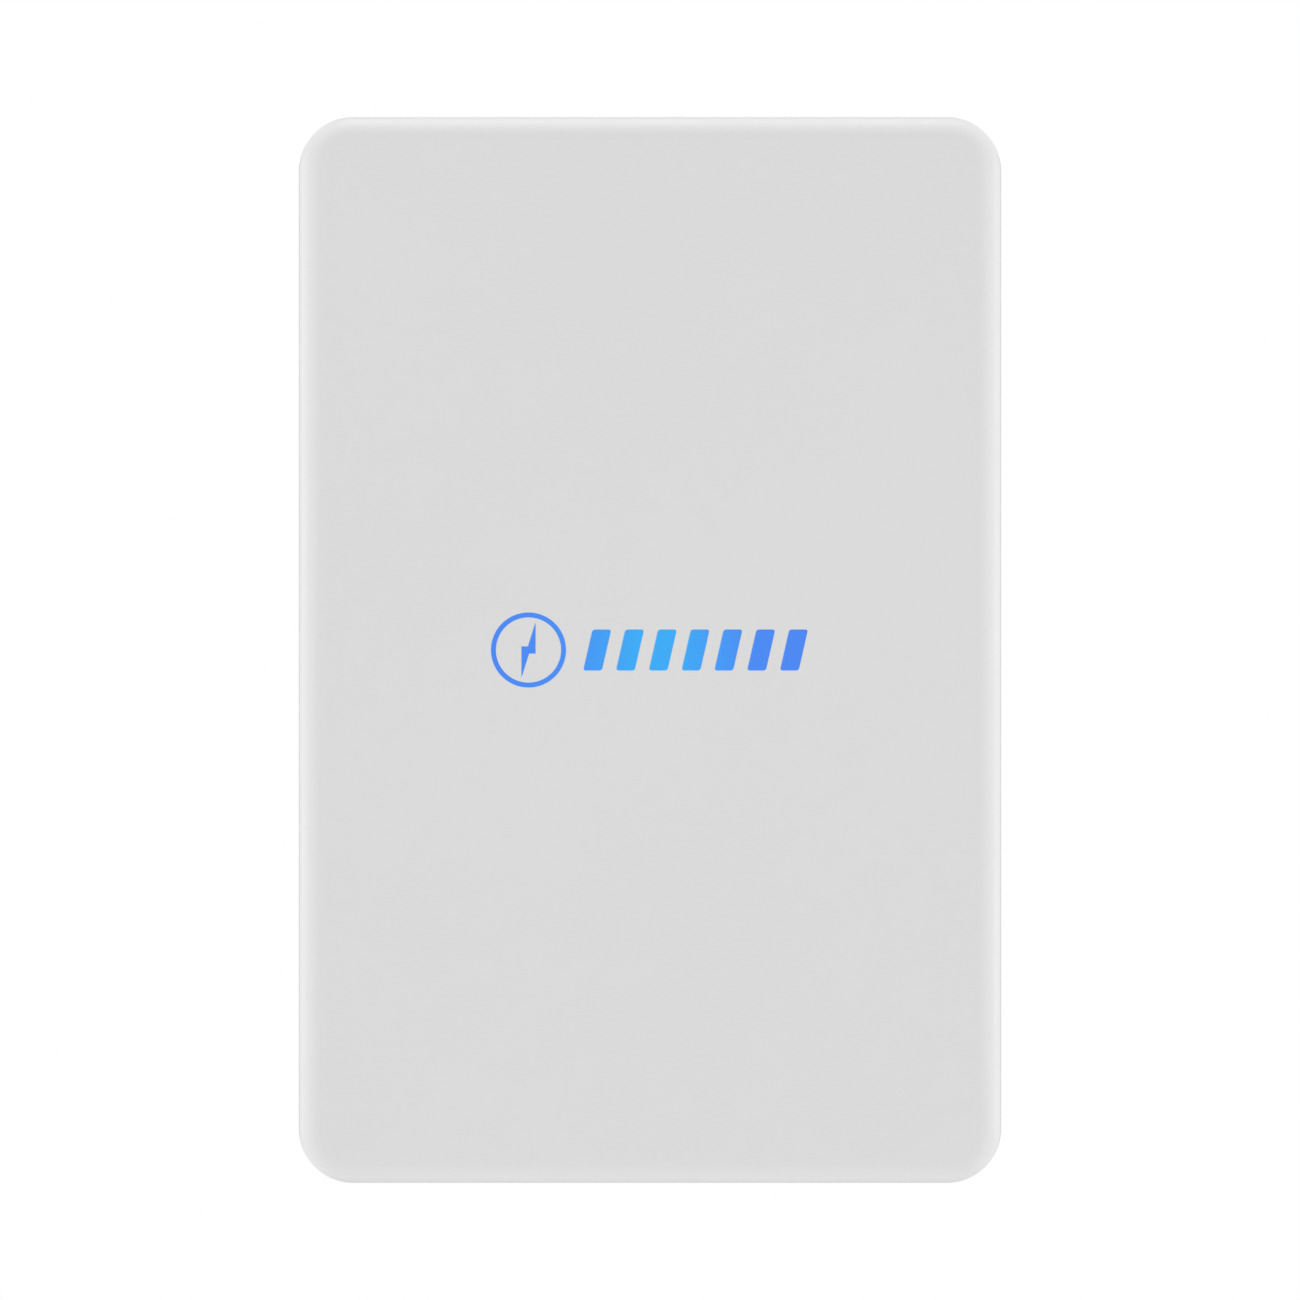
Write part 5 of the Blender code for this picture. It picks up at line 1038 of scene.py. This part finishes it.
def makeDataPort():
    x, thick = port["x"], port["thickness"]
    face = under - thick
    pivotY, pivotZ = recessY + port["pivotOut"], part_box("data_port_block")[0].z + port["pivotDrop"]
    flange = plaque("port_housing", port["width"], port["depth"], 0.0025, face, under, x, recessY)
    roundEnd(flange, "-Z", 0.0003, 2)
    wide, deep, tall = port["body"]
    fuse(flange, plaque("body", wide, deep, 0.0015, under - root, under - root + tall, x, recessY, 3))
    for side in both:
        at = x + side * (port["width"] / 2 - 0.0005 - port["ear"] / 2)
        ear = block("ear", (port["ear"], 0.006, 0.008), (at, pivotY, pivotZ + 0.0005))
        shape(ear, "EDGE", lambda edge: runsAlong(edge, "X") and edge.verts[0].co.z < pivotZ - 0.003,
              bevel(0.0028, 6))
        fuse(flange, cutOut(ear, rod("hole", 0.0013, 0.01, (at, pivotY, pivotZ), "X", 24)))
    jackWide, jackDeep, jackTall = port["jack"]
    jackX = [x + side * port["spacing"] / 2 for side in both]
    screwX, screwY = [x + side * port["screwAt"][0] for side in both], recessY + port["screwAt"][1]
    for at, screw in zip(jackX, screwX):
        cutOut(flange, block("jack", (jackWide, jackDeep, 2 * jackTall), (at, recessY, face)),
               block("latch", (*port["latch"], 2 * jackTall), (at, recessY - jackDeep / 2 - 0.0008, face)),
               rod("screw", 0.0018, 0.0016, (screw, screwY, face), "Z", 24))
    settle(flange, "blackPlastic", "data_port_block")
    pins = [block("port_contacts", (0.00045, 0.0010, 0.0100),
                  (at - 0.00357 + number * port["contactPitch"], recessY + 0.0040, under + 0.0055))
            for at in jackX for number in range(port["contacts"])]
    settle(gather(*pins), "gold")
    heads = []
    for screw in screwX:
        head = rod("port_screws", 0.0016, 0.0012, (screw, screwY, face + 0.0002), "Z", 24)
        heads.append(cutOut(head, block("slot", (0.0024, 0.0005, 0.0008), (screw, screwY, face - 0.0004))))
    settle(gather(*heads), "stainless")

    # the door: plate, hinge barrel, web, pins and a finger pull
    inner = port["width"] - 2 * (port["ear"] + 0.001)
    topZ, frontY = face - 0.0006, recessY - 0.014
    level = topZ - port["doorThickness"]
    door = plaque("port_door", inner, pivotY - frontY, 0.0022, level, topZ, x, (pivotY + frontY) / 2, 5)
    soften(door, 0.0003, 2, 40)
    barrel = rod("barrel", 0.0021, inner, (x, pivotY, pivotZ), "X", 40)
    for side in both:
        cutOut(barrel, block("gap", (0.006, 0.006, 0.0030), (x + side * 0.012, pivotY, pivotZ - 0.0022)))
    plateZ = (topZ + level) / 2
    web = block("web", (inner - 0.001, 0.0030, plateZ - pivotZ + 0.001),
                (x, pivotY - 0.0006, (plateZ + pivotZ) / 2))
    pin = rod("pin", port["pivotRadius"], port["width"] - 0.0006, (x, pivotY, pivotZ), "X", 24)
    pull = block("pull", (0.014, 0.002, 0.0030), (x, frontY + 0.001, level - 0.0015))
    fuse(door, barrel, web, pin, soften(pull, 0.0005, 2, 40))
    # raised picture of a network: three linked boxes
    for wide, deep, dx, dy in ((0.0036, 0.0026, 0, -0.0040), (0.0036, 0.0026, -0.0050, 0.0035),
                               (0.0036, 0.0026, 0.0050, 0.0035), (0.0104, 0.0005, 0, 0),
                               (0.0005, 0.0030, 0, -0.0014), (0.0005, 0.0026, -0.0050, 0.0011),
                               (0.0005, 0.0026, 0.0050, 0.0011)):
        fuse(door, block("sign", (wide, deep, 0.0005), (x + dx, recessY + dy, level)))
    settle(door, "greyPlastic", "data_port_flap", body="data_port_flap")


makeDataPort()


def makeVent():
    low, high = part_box("breather_vent")
    x = middle("breather_vent").x
    at, half = (x, recessY, 0), (under + low.z) / 2
    cap = span("vent_cap", 0.0100, low.z, under, at, sides=96)
    roundEnd(cap, "-Z", 0.0014, 4)
    grooves = [rod("groove", 0.0006, 0.0070, (x + 0.0102 * math.cos(turn), recessY + 0.0102 * math.sin(turn),
                                              half - 0.0006), sides=12)
               for turn in (math.radians(15 * number) for number in range(24))]
    slots = [block("slot", (0.0034, 0.0010, 0.0024), (x + 0.0048 * math.cos(turn),
                                                      recessY + 0.0048 * math.sin(turn), low.z), turn)
             for turn in (math.radians(60 * number + 30) for number in range(6))]
    cutOut(cap, gather(*grooves), gather(*slots))
    thread = span("thread", 0.0056, under - 0.0005, high.z, at)
    turns = [rod("turn", 0.0060, 0.0005, (x, recessY, under + 0.0024 + 0.0011 * n)) for n in range(5)]
    settle(fuse(cap, thread, gather(*turns)), "blackPlastic", "breather_vent")


makeVent()


def makeEarthStud():
    low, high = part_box("earth_stud")
    x = middle("earth_stud").x
    at = (x, recessY, 0)
    stud = span("earthing_stud", 0.0027, low.z, under + 0.003, at, sides=40)
    roundEnd(stud, "-Z", 0.0008, 2)
    collar = span("collar", 0.0058, recessTop + 0.0023, high.z, at)
    threads = [rod("ridge", 0.0030, 0.00042, (x, recessY, low.z + 0.0014 + number * 0.0008), sides=40)
               for number in range(18)]
    fuse(stud, soften(collar, 0.0004), gather(*threads))
    settle(stud, "brass", "earth_stud")
    nutLow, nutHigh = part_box("earth_nut")
    centre = (x, recessY, (nutHigh.z + nutLow.z) / 2)
    nut = rod("earthing_nut", 0.0058, nutHigh.z - nutLow.z, centre, sides=6)
    for first, second in ((0.0092, 0.0048), (0.0048, 0.0092)):
        bpy.ops.mesh.primitive_cone_add(vertices=64, radius1=first, radius2=second, depth=0.0110,
                                        location=centre)
        combine(nut, [named("chamfer")], "INTERSECT")
    cutOut(nut, rod("bore", 0.0033, 0.02, (x, recessY, nutLow.z), sides=32))
    settle(nut, "stainless", "earth_nut")
    # earth sign beside the stud, raised on the recess ceiling
    signX, level = x + 0.0140, recessTop - 0.0001
    bars = [block("earth_sign", (width, 0.0006, 0.0004), (signX, recessY + y, level))
            for width, y in ((0.0064, 0.0), (0.0044, 0.0016), (0.0022, 0.0032))]
    stem = block("stem", (0.0006, 0.0038, 0.0004), (signX, recessY - 0.0022, level))
    settle(gather(*bars, stem), "whitePlastic", free=True)


makeEarthStud()
print("connection recess done")

sink = {"base": 0.004, "corner": 0.004, "fins": 15, "finThickness": 0.002, "finTip": 0.0013,
        "screwInset": (0.0105, 0.0062)}


def makeHeatSink():
    low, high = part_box("heat_sink")
    at, size = middle("heat_sink"), high - low
    thick, corner = sink["finThickness"], sink["corner"]
    baseFront = case["backY"] + 0.0003
    baseBack = baseFront + sink["base"]
    base = slab("cooler", size.x, size.z, corner, baseBack, baseFront, x=at.x, z=at.z, steps=5)
    fuse(base, slab("pedestal", 0.170, 0.110, 0.003, baseFront + root, low.y, x=at.x, z=at.z, steps=3))
    pitch = (size.x - 2 * corner - thick) / (sink["fins"] - 1)
    fin = block("fin", (thick, high.y - baseBack + 0.0005, size.z - 0.012),
                (low.x + corner + thick / 2, (high.y + baseBack - 0.0005) / 2, at.z))
    shape(fin, "FACE", lambda face: face.normal.y > 0.99,
          lambda: bpy.ops.transform.resize(value=(sink["finTip"] / thick, 1, 1)))
    for axis, width, steps in (("Z", 0.0005, 3), ("X", 0.0030, 4)):
        shape(fin, "EDGE", lambda edge: runsAlong(edge, axis) and edge.verts[0].co.y > high.y - 1e-4,
              bevel(width, steps))
    fins = [fin] + [copyOf(fin, "fin", (pitch * number, 0, 0)) for number in range(1, sink["fins"])]
    reachX, reachZ = size.x / 2 - sink["screwInset"][0], size.z / 2 - sink["screwInset"][1]
    spots = [(at.x + a * reachX, at.z + b * reachZ) for a in (-1, 0, 1) for b in both]
    for x, z in spots:
        cutOut(base, rod("seat", 0.0034, 0.0030, (x, baseBack, z), "Y", 28))
    row = gather(*fins)
    for x, z in spots:
        cutOut(row, rod("room", 0.0042, 0.040, (x, baseBack + 0.0205, z), "Y", 28))
    settle(fuse(base, row), "aluminium", "heat_sink")
    heads = []
    for x, z in spots:
        head = rod("cooler_screws", 0.0030, 0.0020, (x, baseBack - 0.0004, z), "Y", 28)
        roundEnd(head, "+Y", 0.0006, 2)
        heads.append(cutOut(head, rod("hex", 0.0015, 0.0016, (x, baseBack + 0.0006, z), "Y", 6)))
    settle(gather(*heads), "stainless")


makeHeatSink()
print("heat sink done")

cellSize = {"chamfer": 0.0018, "filmEdge": 0.0022, "terminalRadius": 0.0080, "terminalHeight": 0.003,
            "terminalInset": 0.026, "ventWidth": 0.026, "ventDepth": 0.014}


def makeCells():
    low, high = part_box("cell_1")
    start = middle("cell_1")
    x, y = start.x, start.y
    rise = cellSize["terminalHeight"]
    top = high.z - rise
    wide, deep = high.x - low.x, high.y - low.y
    can = block("cell_can", (wide, deep, top - low.z), (x, y, (top + low.z) / 2))
    soften(can, cellSize["chamfer"], 4)
    # the film is folded over the top edge, so the metal lid shows inside a thin rim
    pressEnd(can, "+Z", cellSize["filmEdge"], (0, 0, -0.0006))
    for side in both:
        # folded film seams on the narrow sides
        cutOut(can, block("seam", (0.0004, 0.0090, top - low.z - 0.012),
                          (x + side * (wide / 2 - 0.0001), y, (top + low.z) / 2)))
    metal = block("cell_top", (wide - 0.0050, deep - 0.0050, 0.0012), (x, y, top - 0.0004))
    soften(metal, 0.0004)
    posts = [x + side * (wide / 2 - cellSize["terminalInset"]) for side in both]
    for postX in posts:
        post = span("post", cellSize["terminalRadius"], top - 0.0006, high.z, (postX, y, 0), sides=40)
        fuse(metal, roundEnd(post, "+Z", 0.0005, 2))
    vent = plaque("vent", cellSize["ventWidth"], cellSize["ventDepth"], 0.0060, top, top + 0.0009, x, y)
    pressEnd(vent, "+Z", 0.0012, (0, 0, -0.0005))
    fuse(metal, vent, rod("plug", 0.0030, 0.0014, (x + 0.0280, y, top + 0.0005), sides=28))
    rings = [rod("cell_insulators", 0.0110, 0.0010, (postX, y, top + 0.0004), sides=40) for postX in posts]
    for ring, postX in zip(rings, posts):
        cutOut(ring, rod("hole", cellSize["terminalRadius"] + 0.0002, 0.01, (postX, y, top), sides=40))
    seat = gather(*rings)
    for number in range(1, 9):
        step = middle(f"cell_{number}") - start
        settle(copyOf(can, f"cell_film_{number}", step), "cellFilm", f"cell_{number}")
        settle(copyOf(metal, f"cell_lid_{number}", step), "aluminium")
        settle(copyOf(seat, f"cell_rings_{number}", step), "blackPlastic")
    for pattern in (can, metal, seat):
        bpy.data.objects.remove(pattern)


makeCells()

conductor = {"rounding": 0.0005, "weldRadius": 0.0056, "weldBore": 0.0048, "weldInset": 0.0100,
             "leftTurn": 3, "slits": 5, "slitPitch": 0.0013}


def makeConductors():
    for number in range(1, 8):
        node = f"cell_link_{number}"
        link = redraw(node, f"link_bar_{number}", conductor["rounding"], 2, 40)
        low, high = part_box(node)
        inset = conductor["weldInset"]
        for way in both:
            # laser weld rings over both terminals
            if high.z - low.z < 0.01:
                x, z = (low.x if way < 0 else high.x) - way * inset, high.z
            else:
                x = low.x + inset if number == conductor["leftTurn"] else high.x - inset
                z = high.z if way > 0 else low.z + 0.0030
            fuse(link, tube("weld", conductor["weldRadius"], conductor["weldBore"], 0.0005,
                            (x, (low.y + high.y) / 2, z), sides=32))
        settle(link, "copper", node)
    for word in ("positive", "negative"):
        bar = redraw(f"{word}_busbar", f"busbar_{word}", conductor["rounding"], 2, 40)
        settle(bar, "copper", f"{word}_busbar")
    bar = redraw("shunt", "shunt_bar", conductor["rounding"], 2, 40)
    low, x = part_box("shunt")[0], middle("shunt").x - 0.004
    for turn in range(conductor["slits"]):
        z = low.z + 0.0012 + turn * conductor["slitPitch"]
        cutOut(bar, block("slit", (0.0130, 0.0400, 0.0007), (x, low.y, z)))
    settle(bar, "copper", "shunt")


makeConductors()

packing = {"holeRadius": 0.0045, "holeInset": 0.012, "holes": 13, "holePitch": 0.0489, "firstHole": 0.030}


def makePacking():
    settle(soften(redraw("thermal_pad", "heat_pad"), 0.0003), "silicone", "thermal_pad")
    settle(redraw("insulation_sheet", "fibre_sheet"), "fibre", "insulation_sheet")
    plate = redraw("retaining_plate", "clamp_plate", 0.0004, 2, 40)
    low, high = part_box("retaining_plate")
    # round lightening holes along both sides
    holes = []
    for side in both:
        for number in range(packing["holes"]):
            at = (side * (high.x - packing["holeInset"]), low.y,
                  low.z + packing["firstHole"] + number * packing["holePitch"])
            holes.append(rod("hole", packing["holeRadius"], 0.02, at, "Y", 20))
    settle(cutOut(plate, gather(*holes)), "aluminium", "retaining_plate")


makePacking()
print("cells, links and packing done")

# each block: x, z, width, height and depth
converter = {"board": (0.210, 0.150, 0.002), "corner": 0.004, "screwAt": (0.099, 0.069),
             "coreBlocks": ((-0.060, 0.035, 0.050, 0.044, 0.036), (-0.060, -0.030, 0.050, 0.044, 0.036)),
             "relay": (0.075, 0.040, 0.036, 0.030, 0.018), "terminals": (0.075, -0.045, 0.040, 0.024, 0.015),
             "towers": (0.020, 0.060, 0.050, 0.012, 0.010), "turns": 7,
             "chips": ((-0.012, -0.045), (0.012, -0.045), (0.036, -0.045), (0.088, -0.004), (0.060, 0.004)),
             "cans": (3, 2), "canPitch": (0.026, 0.030), "canLength": 0.0400, "resistors": 24}
boardDrill = {"length": 0.02, "sides": 20}


def makeConverter():
    at, back = middle("converter_board"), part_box("converter_board")[1].y
    x, z = at.x, at.z
    boardWide, boardTall, thick = converter["board"]
    front = back - thick

    def onBoard(name, dx, dz, wide, tall, deep):
        return block(name, (wide, deep, tall), (x + dx, front - deep / 2, z + dz))

    board = slab("converter_pcb", boardWide, boardTall, converter["corner"], back, front, x=x, z=z, steps=4)
    holes = [rod("hole", 0.0022, boardDrill["length"], (x + a * converter["screwAt"][0], front,
                                                        z + b * converter["screwAt"][1]), "Y",
                 boardDrill["sides"]) for a in both for b in both]
    settle(cutOut(board, gather(*holes)), "board", "converter_board")

    cores, coils = [], []
    for dx, dz, wide, tall, deep in converter["coreBlocks"]:
        for way, name in ((1, "converter_cores"), (-1, "core")):
            core = onBoard(name, dx, dz + way * tall * 0.35, wide, tall * 0.30, deep)
            cores.append(soften(core, 0.0012))
        # flat turns round the middle leg
        for turn in range(converter["turns"]):
            y = front - 0.0045 - turn * (deep - 0.0090) / (converter["turns"] - 1)
            coils.append(slab("converter_coils", wide * 0.92, tall * 0.66, 0.008, y + 0.0014, y - 0.0014,
                              x=x + dx, z=z + dz, steps=6))
    settle(gather(*cores), "ferrite")
    settle(gather(*coils), "copper")

    cans, tops = [], []
    columns, rows = converter["cans"]
    pitchX, pitchZ = converter["canPitch"]
    for canX, canZ in [(x - 0.006 + column * pitchX, z + 0.022 - row * pitchZ)
                       for column in range(columns) for row in range(rows)]:
        can = rod("capacitors", 0.0110, converter["canLength"], (canX, front - 0.0198, canZ), "Y", 40)
        roundRims(can, "Y", 0.0010, 3)
        cans.append(cutOut(can, tube("ring", 0.0130, 0.0106, 0.0012, (canX, front - 0.0050, canZ), "Y", 40)))
        top = rod("capacitor_tops", 0.0094, 0.0006, (canX, front - 0.0399, canZ), "Y", 40)
        score = (canX, front - 0.0402, canZ)
        tops.append(cutOut(top, block("score", (0.0140, 0.0006, 0.0005), score),
                           block("score", (0.0005, 0.0006, 0.0140), score)))
    settle(gather(*cans), "cellFilm", free=True)
    settle(gather(*tops), "aluminium")

    settle(soften(onBoard("converter_relay", *converter["relay"]), 0.0012, 3), "blackPlastic")
    body = soften(onBoard("output_terminals", *converter["terminals"]), 0.0008)
    dx, dz, wide, tall, deep = converter["terminals"]
    wells, clamps = [], []
    for number in range(4):
        wellX = x + dx - wide / 2 + wide * (number + 0.5) / 4
        wells.append(rod("well", 0.0032, 0.0060, (wellX, front - deep, z + dz), "Y", 24))
        clamp = rod("terminal_screws", 0.0028, 0.0030, (wellX, front - deep + 0.0020, z + dz), "Y", 24)
        clamps.append(cutOut(clamp, block("slot", (0.0046, 0.0016, 0.0008),
                                          (wellX, front - deep + 0.0006, z + dz))))
    settle(cutOut(body, gather(*wells)), "greyPlastic", free=True)
    settle(gather(*clamps), "stainless")

    dx, dz, wide, tall, deep = converter["towers"]
    chips = [onBoard("converter_chips", dx + way * 0.020, dz, 0.0100, tall, deep) for way in (-1, 0, 1)]
    chips += [onBoard("chip", *spot, 0.0120, 0.0120, 0.0018) for spot in converter["chips"]]
    settle(gather(*[soften(chip, 0.0004) for chip in chips]), "chipResin")
    legs = [block("chip_legs", (0.0006, 0.0006, 0.0020),
                  (x + chipX - 0.0049 + pin * 0.0014, front - 0.0004, z + chipZ + side * 0.0068))
            for chipX, chipZ in converter["chips"] for pin in range(8) for side in both]
    legs += [block("resistor", (0.0018, 0.0008, 0.0010),
                   (x - 0.088 + 0.0075 * number, front - 0.0004, z - 0.0655))
             for number in range(converter["resistors"])]
    settle(gather(*legs), "tin")


makeConverter()

# each plug: x, z, width, height and depth
control = {"board": 0.002, "corner": 0.004, "screwInset": 0.006, "pinPitch": 0.0035, "smallChips": 6,
           "plugs": ((0.030, 0.040, 0.040, 0.018, 0.008), (-0.040, -0.050, 0.050, 0.012, 0.009),
                     (0.035, -0.055, 0.036, 0.014, 0.010))}


def makeControlBoard():
    at, size = middle("bms_board"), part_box("bms_board")[1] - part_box("bms_board")[0]
    x, z = at.x, at.z
    back = at.y + size.y / 2
    front = back - control["board"]
    board = slab("control_pcb", size.x, size.z, control["corner"], back, front, x=x, z=z, steps=4)
    holes = [rod("hole", 0.0020, boardDrill["length"],
                 (x + a * (size.x / 2 - control["screwInset"]), front,
                  z + b * (size.z / 2 - control["screwInset"])), "Y", boardDrill["sides"])
             for a in both for b in both]
    settle(cutOut(board, gather(*holes)), "board", "bms_board")

    def onBoard(name, dx, dz, wide, tall, deep):
        return block(name, (wide, deep, tall), (x + dx, front - deep / 2, z + dz))

    chips = [onBoard("control_chips", -0.040, 0.030, 0.030, 0.030, 0.004),
             onBoard("chip", 0.030, -0.010, 0.024, 0.024, 0.003)]
    chips += [onBoard("chip", -0.050 + number * 0.0105, -0.0200, 0.0065, 0.0050, 0.0016)
              for number in range(control["smallChips"])]
    settle(gather(*[soften(chip, 0.0004) for chip in chips]), "chipResin")
    plugs, pins = [], []
    pitch = control["pinPitch"]
    for dx, dz, wide, tall, deep in control["plugs"]:
        plug = onBoard("control_plugs", dx, dz, wide, tall, deep)
        plugs.append(pressEnd(plug, "-Y", 0.0011, (0, deep * 0.7, 0)))
        count = int(wide / pitch)
        pins += [block("control_pins", (0.0007, deep * 0.6, 0.0007),
                       (x + dx + (number - (count - 1) / 2) * pitch, front - deep * 0.45, z + dz))
                 for number in range(count)]
    settle(gather(*plugs), "whitePlastic")
    y = front - 0.0004
    for number in range(8):
        for side in both:
            pins += [block("leg", (0.0010, 0.0008, 0.0030),
                           (x - 0.0526 + number * 0.0036, y, z + 0.030 + side * 0.0162)),
                     block("leg", (0.0010, 0.0008, 0.0026),
                           (x + 0.0202 + number * 0.0028, y, z - 0.010 + side * 0.0130))]
        pins.append(block("balance_resistor", (0.0030, 0.0009, 0.0052),
                          (x - 0.056 + number * 0.0052, y, z + 0.0680)))
    settle(gather(*pins), "tin")


makeControlBoard()

power = {"rounding": 0.0012, "studHeight": 0.010, "studX": 0.016, "grooves": 6, "groovePitch": 0.0085}


def makePowerColumn():
    settle(redraw("main_fuse", "fuse_block", power["rounding"], 3, 40), "ceramic", "main_fuse")
    low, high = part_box("contactor")
    at = middle("contactor")
    relay = redraw("contactor", "contactor_case", power["rounding"], 3, 40)
    grooves = [block("groove", (0.0700, 0.0006, 0.0010),
                     (at.x, low.y + 0.0002, low.z + 0.012 + number * power["groovePitch"]))
               for number in range(power["grooves"])]
    settle(cutOut(relay, gather(*grooves)), "blackPlastic", "contactor")
    nuts = []
    bodyTop = high.z - power["studHeight"]
    for side in both:
        x = at.x + side * power["studX"]
        nut = rod("contactor_nuts", 0.0075, 0.0040, (x, at.y, bodyTop + 0.0018), sides=6)
        soften(nut, 0.0005)
        nuts.append(cutOut(nut, rod("hole", 0.0052, 0.02, (x, at.y, bodyTop), sides=32)))
    settle(gather(*nuts), "stainless")


makePowerColumn()

cable = {"radius": 0.004, "spacing": 0.018, "drop": 0.012, "sweep": 0.030, "breakerX": 0.2592}


def makeLeads():
    low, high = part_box("output_lead_positive")
    for word, way, jacket in (("positive", 1, "redJacket"), ("negative", -1, "blackJacket")):
        endX = middle(f"dc_socket_{word}").x
        shift = way * cable["spacing"] / 2
        between = ((cable["breakerX"] + endX) / 2, (trayY + recessY) / 2 + 1.5 * shift, (low.z + high.z) / 2)
        down = (0, 0, -cable["drop"])
        knots = (((cable["breakerX"], trayY + shift, high.z), down),
                 (between, (-cable["sweep"], 0, 0)), ((endX, recessY, low.z), down))
        bpy.ops.curve.primitive_bezier_curve_add(location=(0, 0, 0))
        path = bpy.context.object.data
        spline = path.splines[0]
        spline.bezier_points.add(1)
        for knot, (place, reach) in zip(spline.bezier_points, knots):
            knot.handle_left_type = knot.handle_right_type = "FREE"
            knot.co = place
            knot.handle_left = Vector(place) - Vector(reach)
            knot.handle_right = Vector(place) + Vector(reach)
        path.bevel_depth, path.bevel_resolution = cable["radius"], 6
        path.resolution_u, path.use_fill_caps = 28, True
        bpy.ops.object.convert(target="MESH")
        settle(named(f"cable_{word}"), jacket, f"output_lead_{word}", angle=60)


makeLeads()
print("electronics done")

studio = {"floorZ": -2.2, "floorSize": 9.0, "cameraDistance": 18.478, "lens": 600.0, "soft": 0.545,
          "fillPower": 94.0, "sidePower": 55.0, "topPower": 60.0, "lowPower": 5.5}


def makeStage():
    bpy.ops.mesh.primitive_plane_add(size=studio["floorSize"], location=(0, 0, studio["floorZ"]))
    floor = named("floor")
    paint = surface("floorPaint", {"colour": (0.80, 0.80, 0.80), "drift": 0.01, "roughness": (0.70, 0.80),
                                   "grainScale": 60.0, "bump": 0.02})
    # seen from below, the floor lets the unit's underside show
    tree = paint.node_tree
    make, link = tree.nodes.new, tree.links.new
    see = make("ShaderNodeMixShader")
    link(make("ShaderNodeNewGeometry").outputs["Backfacing"], see.inputs[0])
    link(tree.nodes["Principled BSDF"].outputs[0], see.inputs[1])
    link(make("ShaderNodeBsdfTransparent").outputs[0], see.inputs[2])
    link(see.outputs[0], tree.nodes["Material Output"].inputs["Surface"])
    floor.data.materials.append(paint)
    # white behind the unit, softer white on it
    world = bpy.data.worlds.new("studio")
    world.use_nodes = True
    tree = world.node_tree
    sky = tree.nodes["Background"]
    sky.inputs["Color"].default_value = (1, 1, 1, 1)
    strength = tree.nodes.new("ShaderNodeMapRange")
    strength.inputs["To Min"].default_value = studio["soft"]
    tree.links.new(tree.nodes.new("ShaderNodeLightPath").outputs["Is Camera Ray"], strength.inputs["Value"])
    tree.links.new(strength.outputs["Result"], sky.inputs["Strength"])
    bpy.context.scene.world = world
    bpy.context.scene.view_settings.view_transform = "Standard"


def addLight(name, place, aim, width, height, power):
    turn = (Vector(aim) - Vector(place)).to_track_quat("-Z", "Y").to_euler()
    bpy.ops.object.light_add(type="AREA", location=place, rotation=turn)
    lamp = bpy.context.object
    lamp.name = name
    lamp.data.shape = "RECTANGLE"
    lamp.data.size, lamp.data.size_y = width, height
    lamp.data.energy = power


def addCamera():
    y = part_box("front_cover")[0].y - studio["cameraDistance"]
    bpy.ops.object.camera_add(location=(0, y, 0), rotation=(math.pi / 2, 0, 0))
    camera = bpy.context.object
    camera.data.lens = studio["lens"]
    camera.data.sensor_width = 36.0
    camera.data.clip_end = 100.0
    bpy.context.scene.camera = camera


makeStage()
for side in both:
    addLight("fill_light", (side * 3.9, -4.6, 1.0), (0, -0.09, 0), 2.4, 2.4, studio["fillPower"])
    addLight("side_light", (side * 3.94, 0.60, 0.2), (0, -0.09, 0), 1.2, 2.4, studio["sidePower"])
addLight("top_light", (0, 0.60, 3.9), (0, -0.09, 0.2), 2.4, 1.0, studio["topPower"])
addLight("low_light", (0, 0.20, -2.1), (0, -0.09, -0.4), 1.8, 0.7, studio["lowPower"])
addCamera()
print("stage ready")
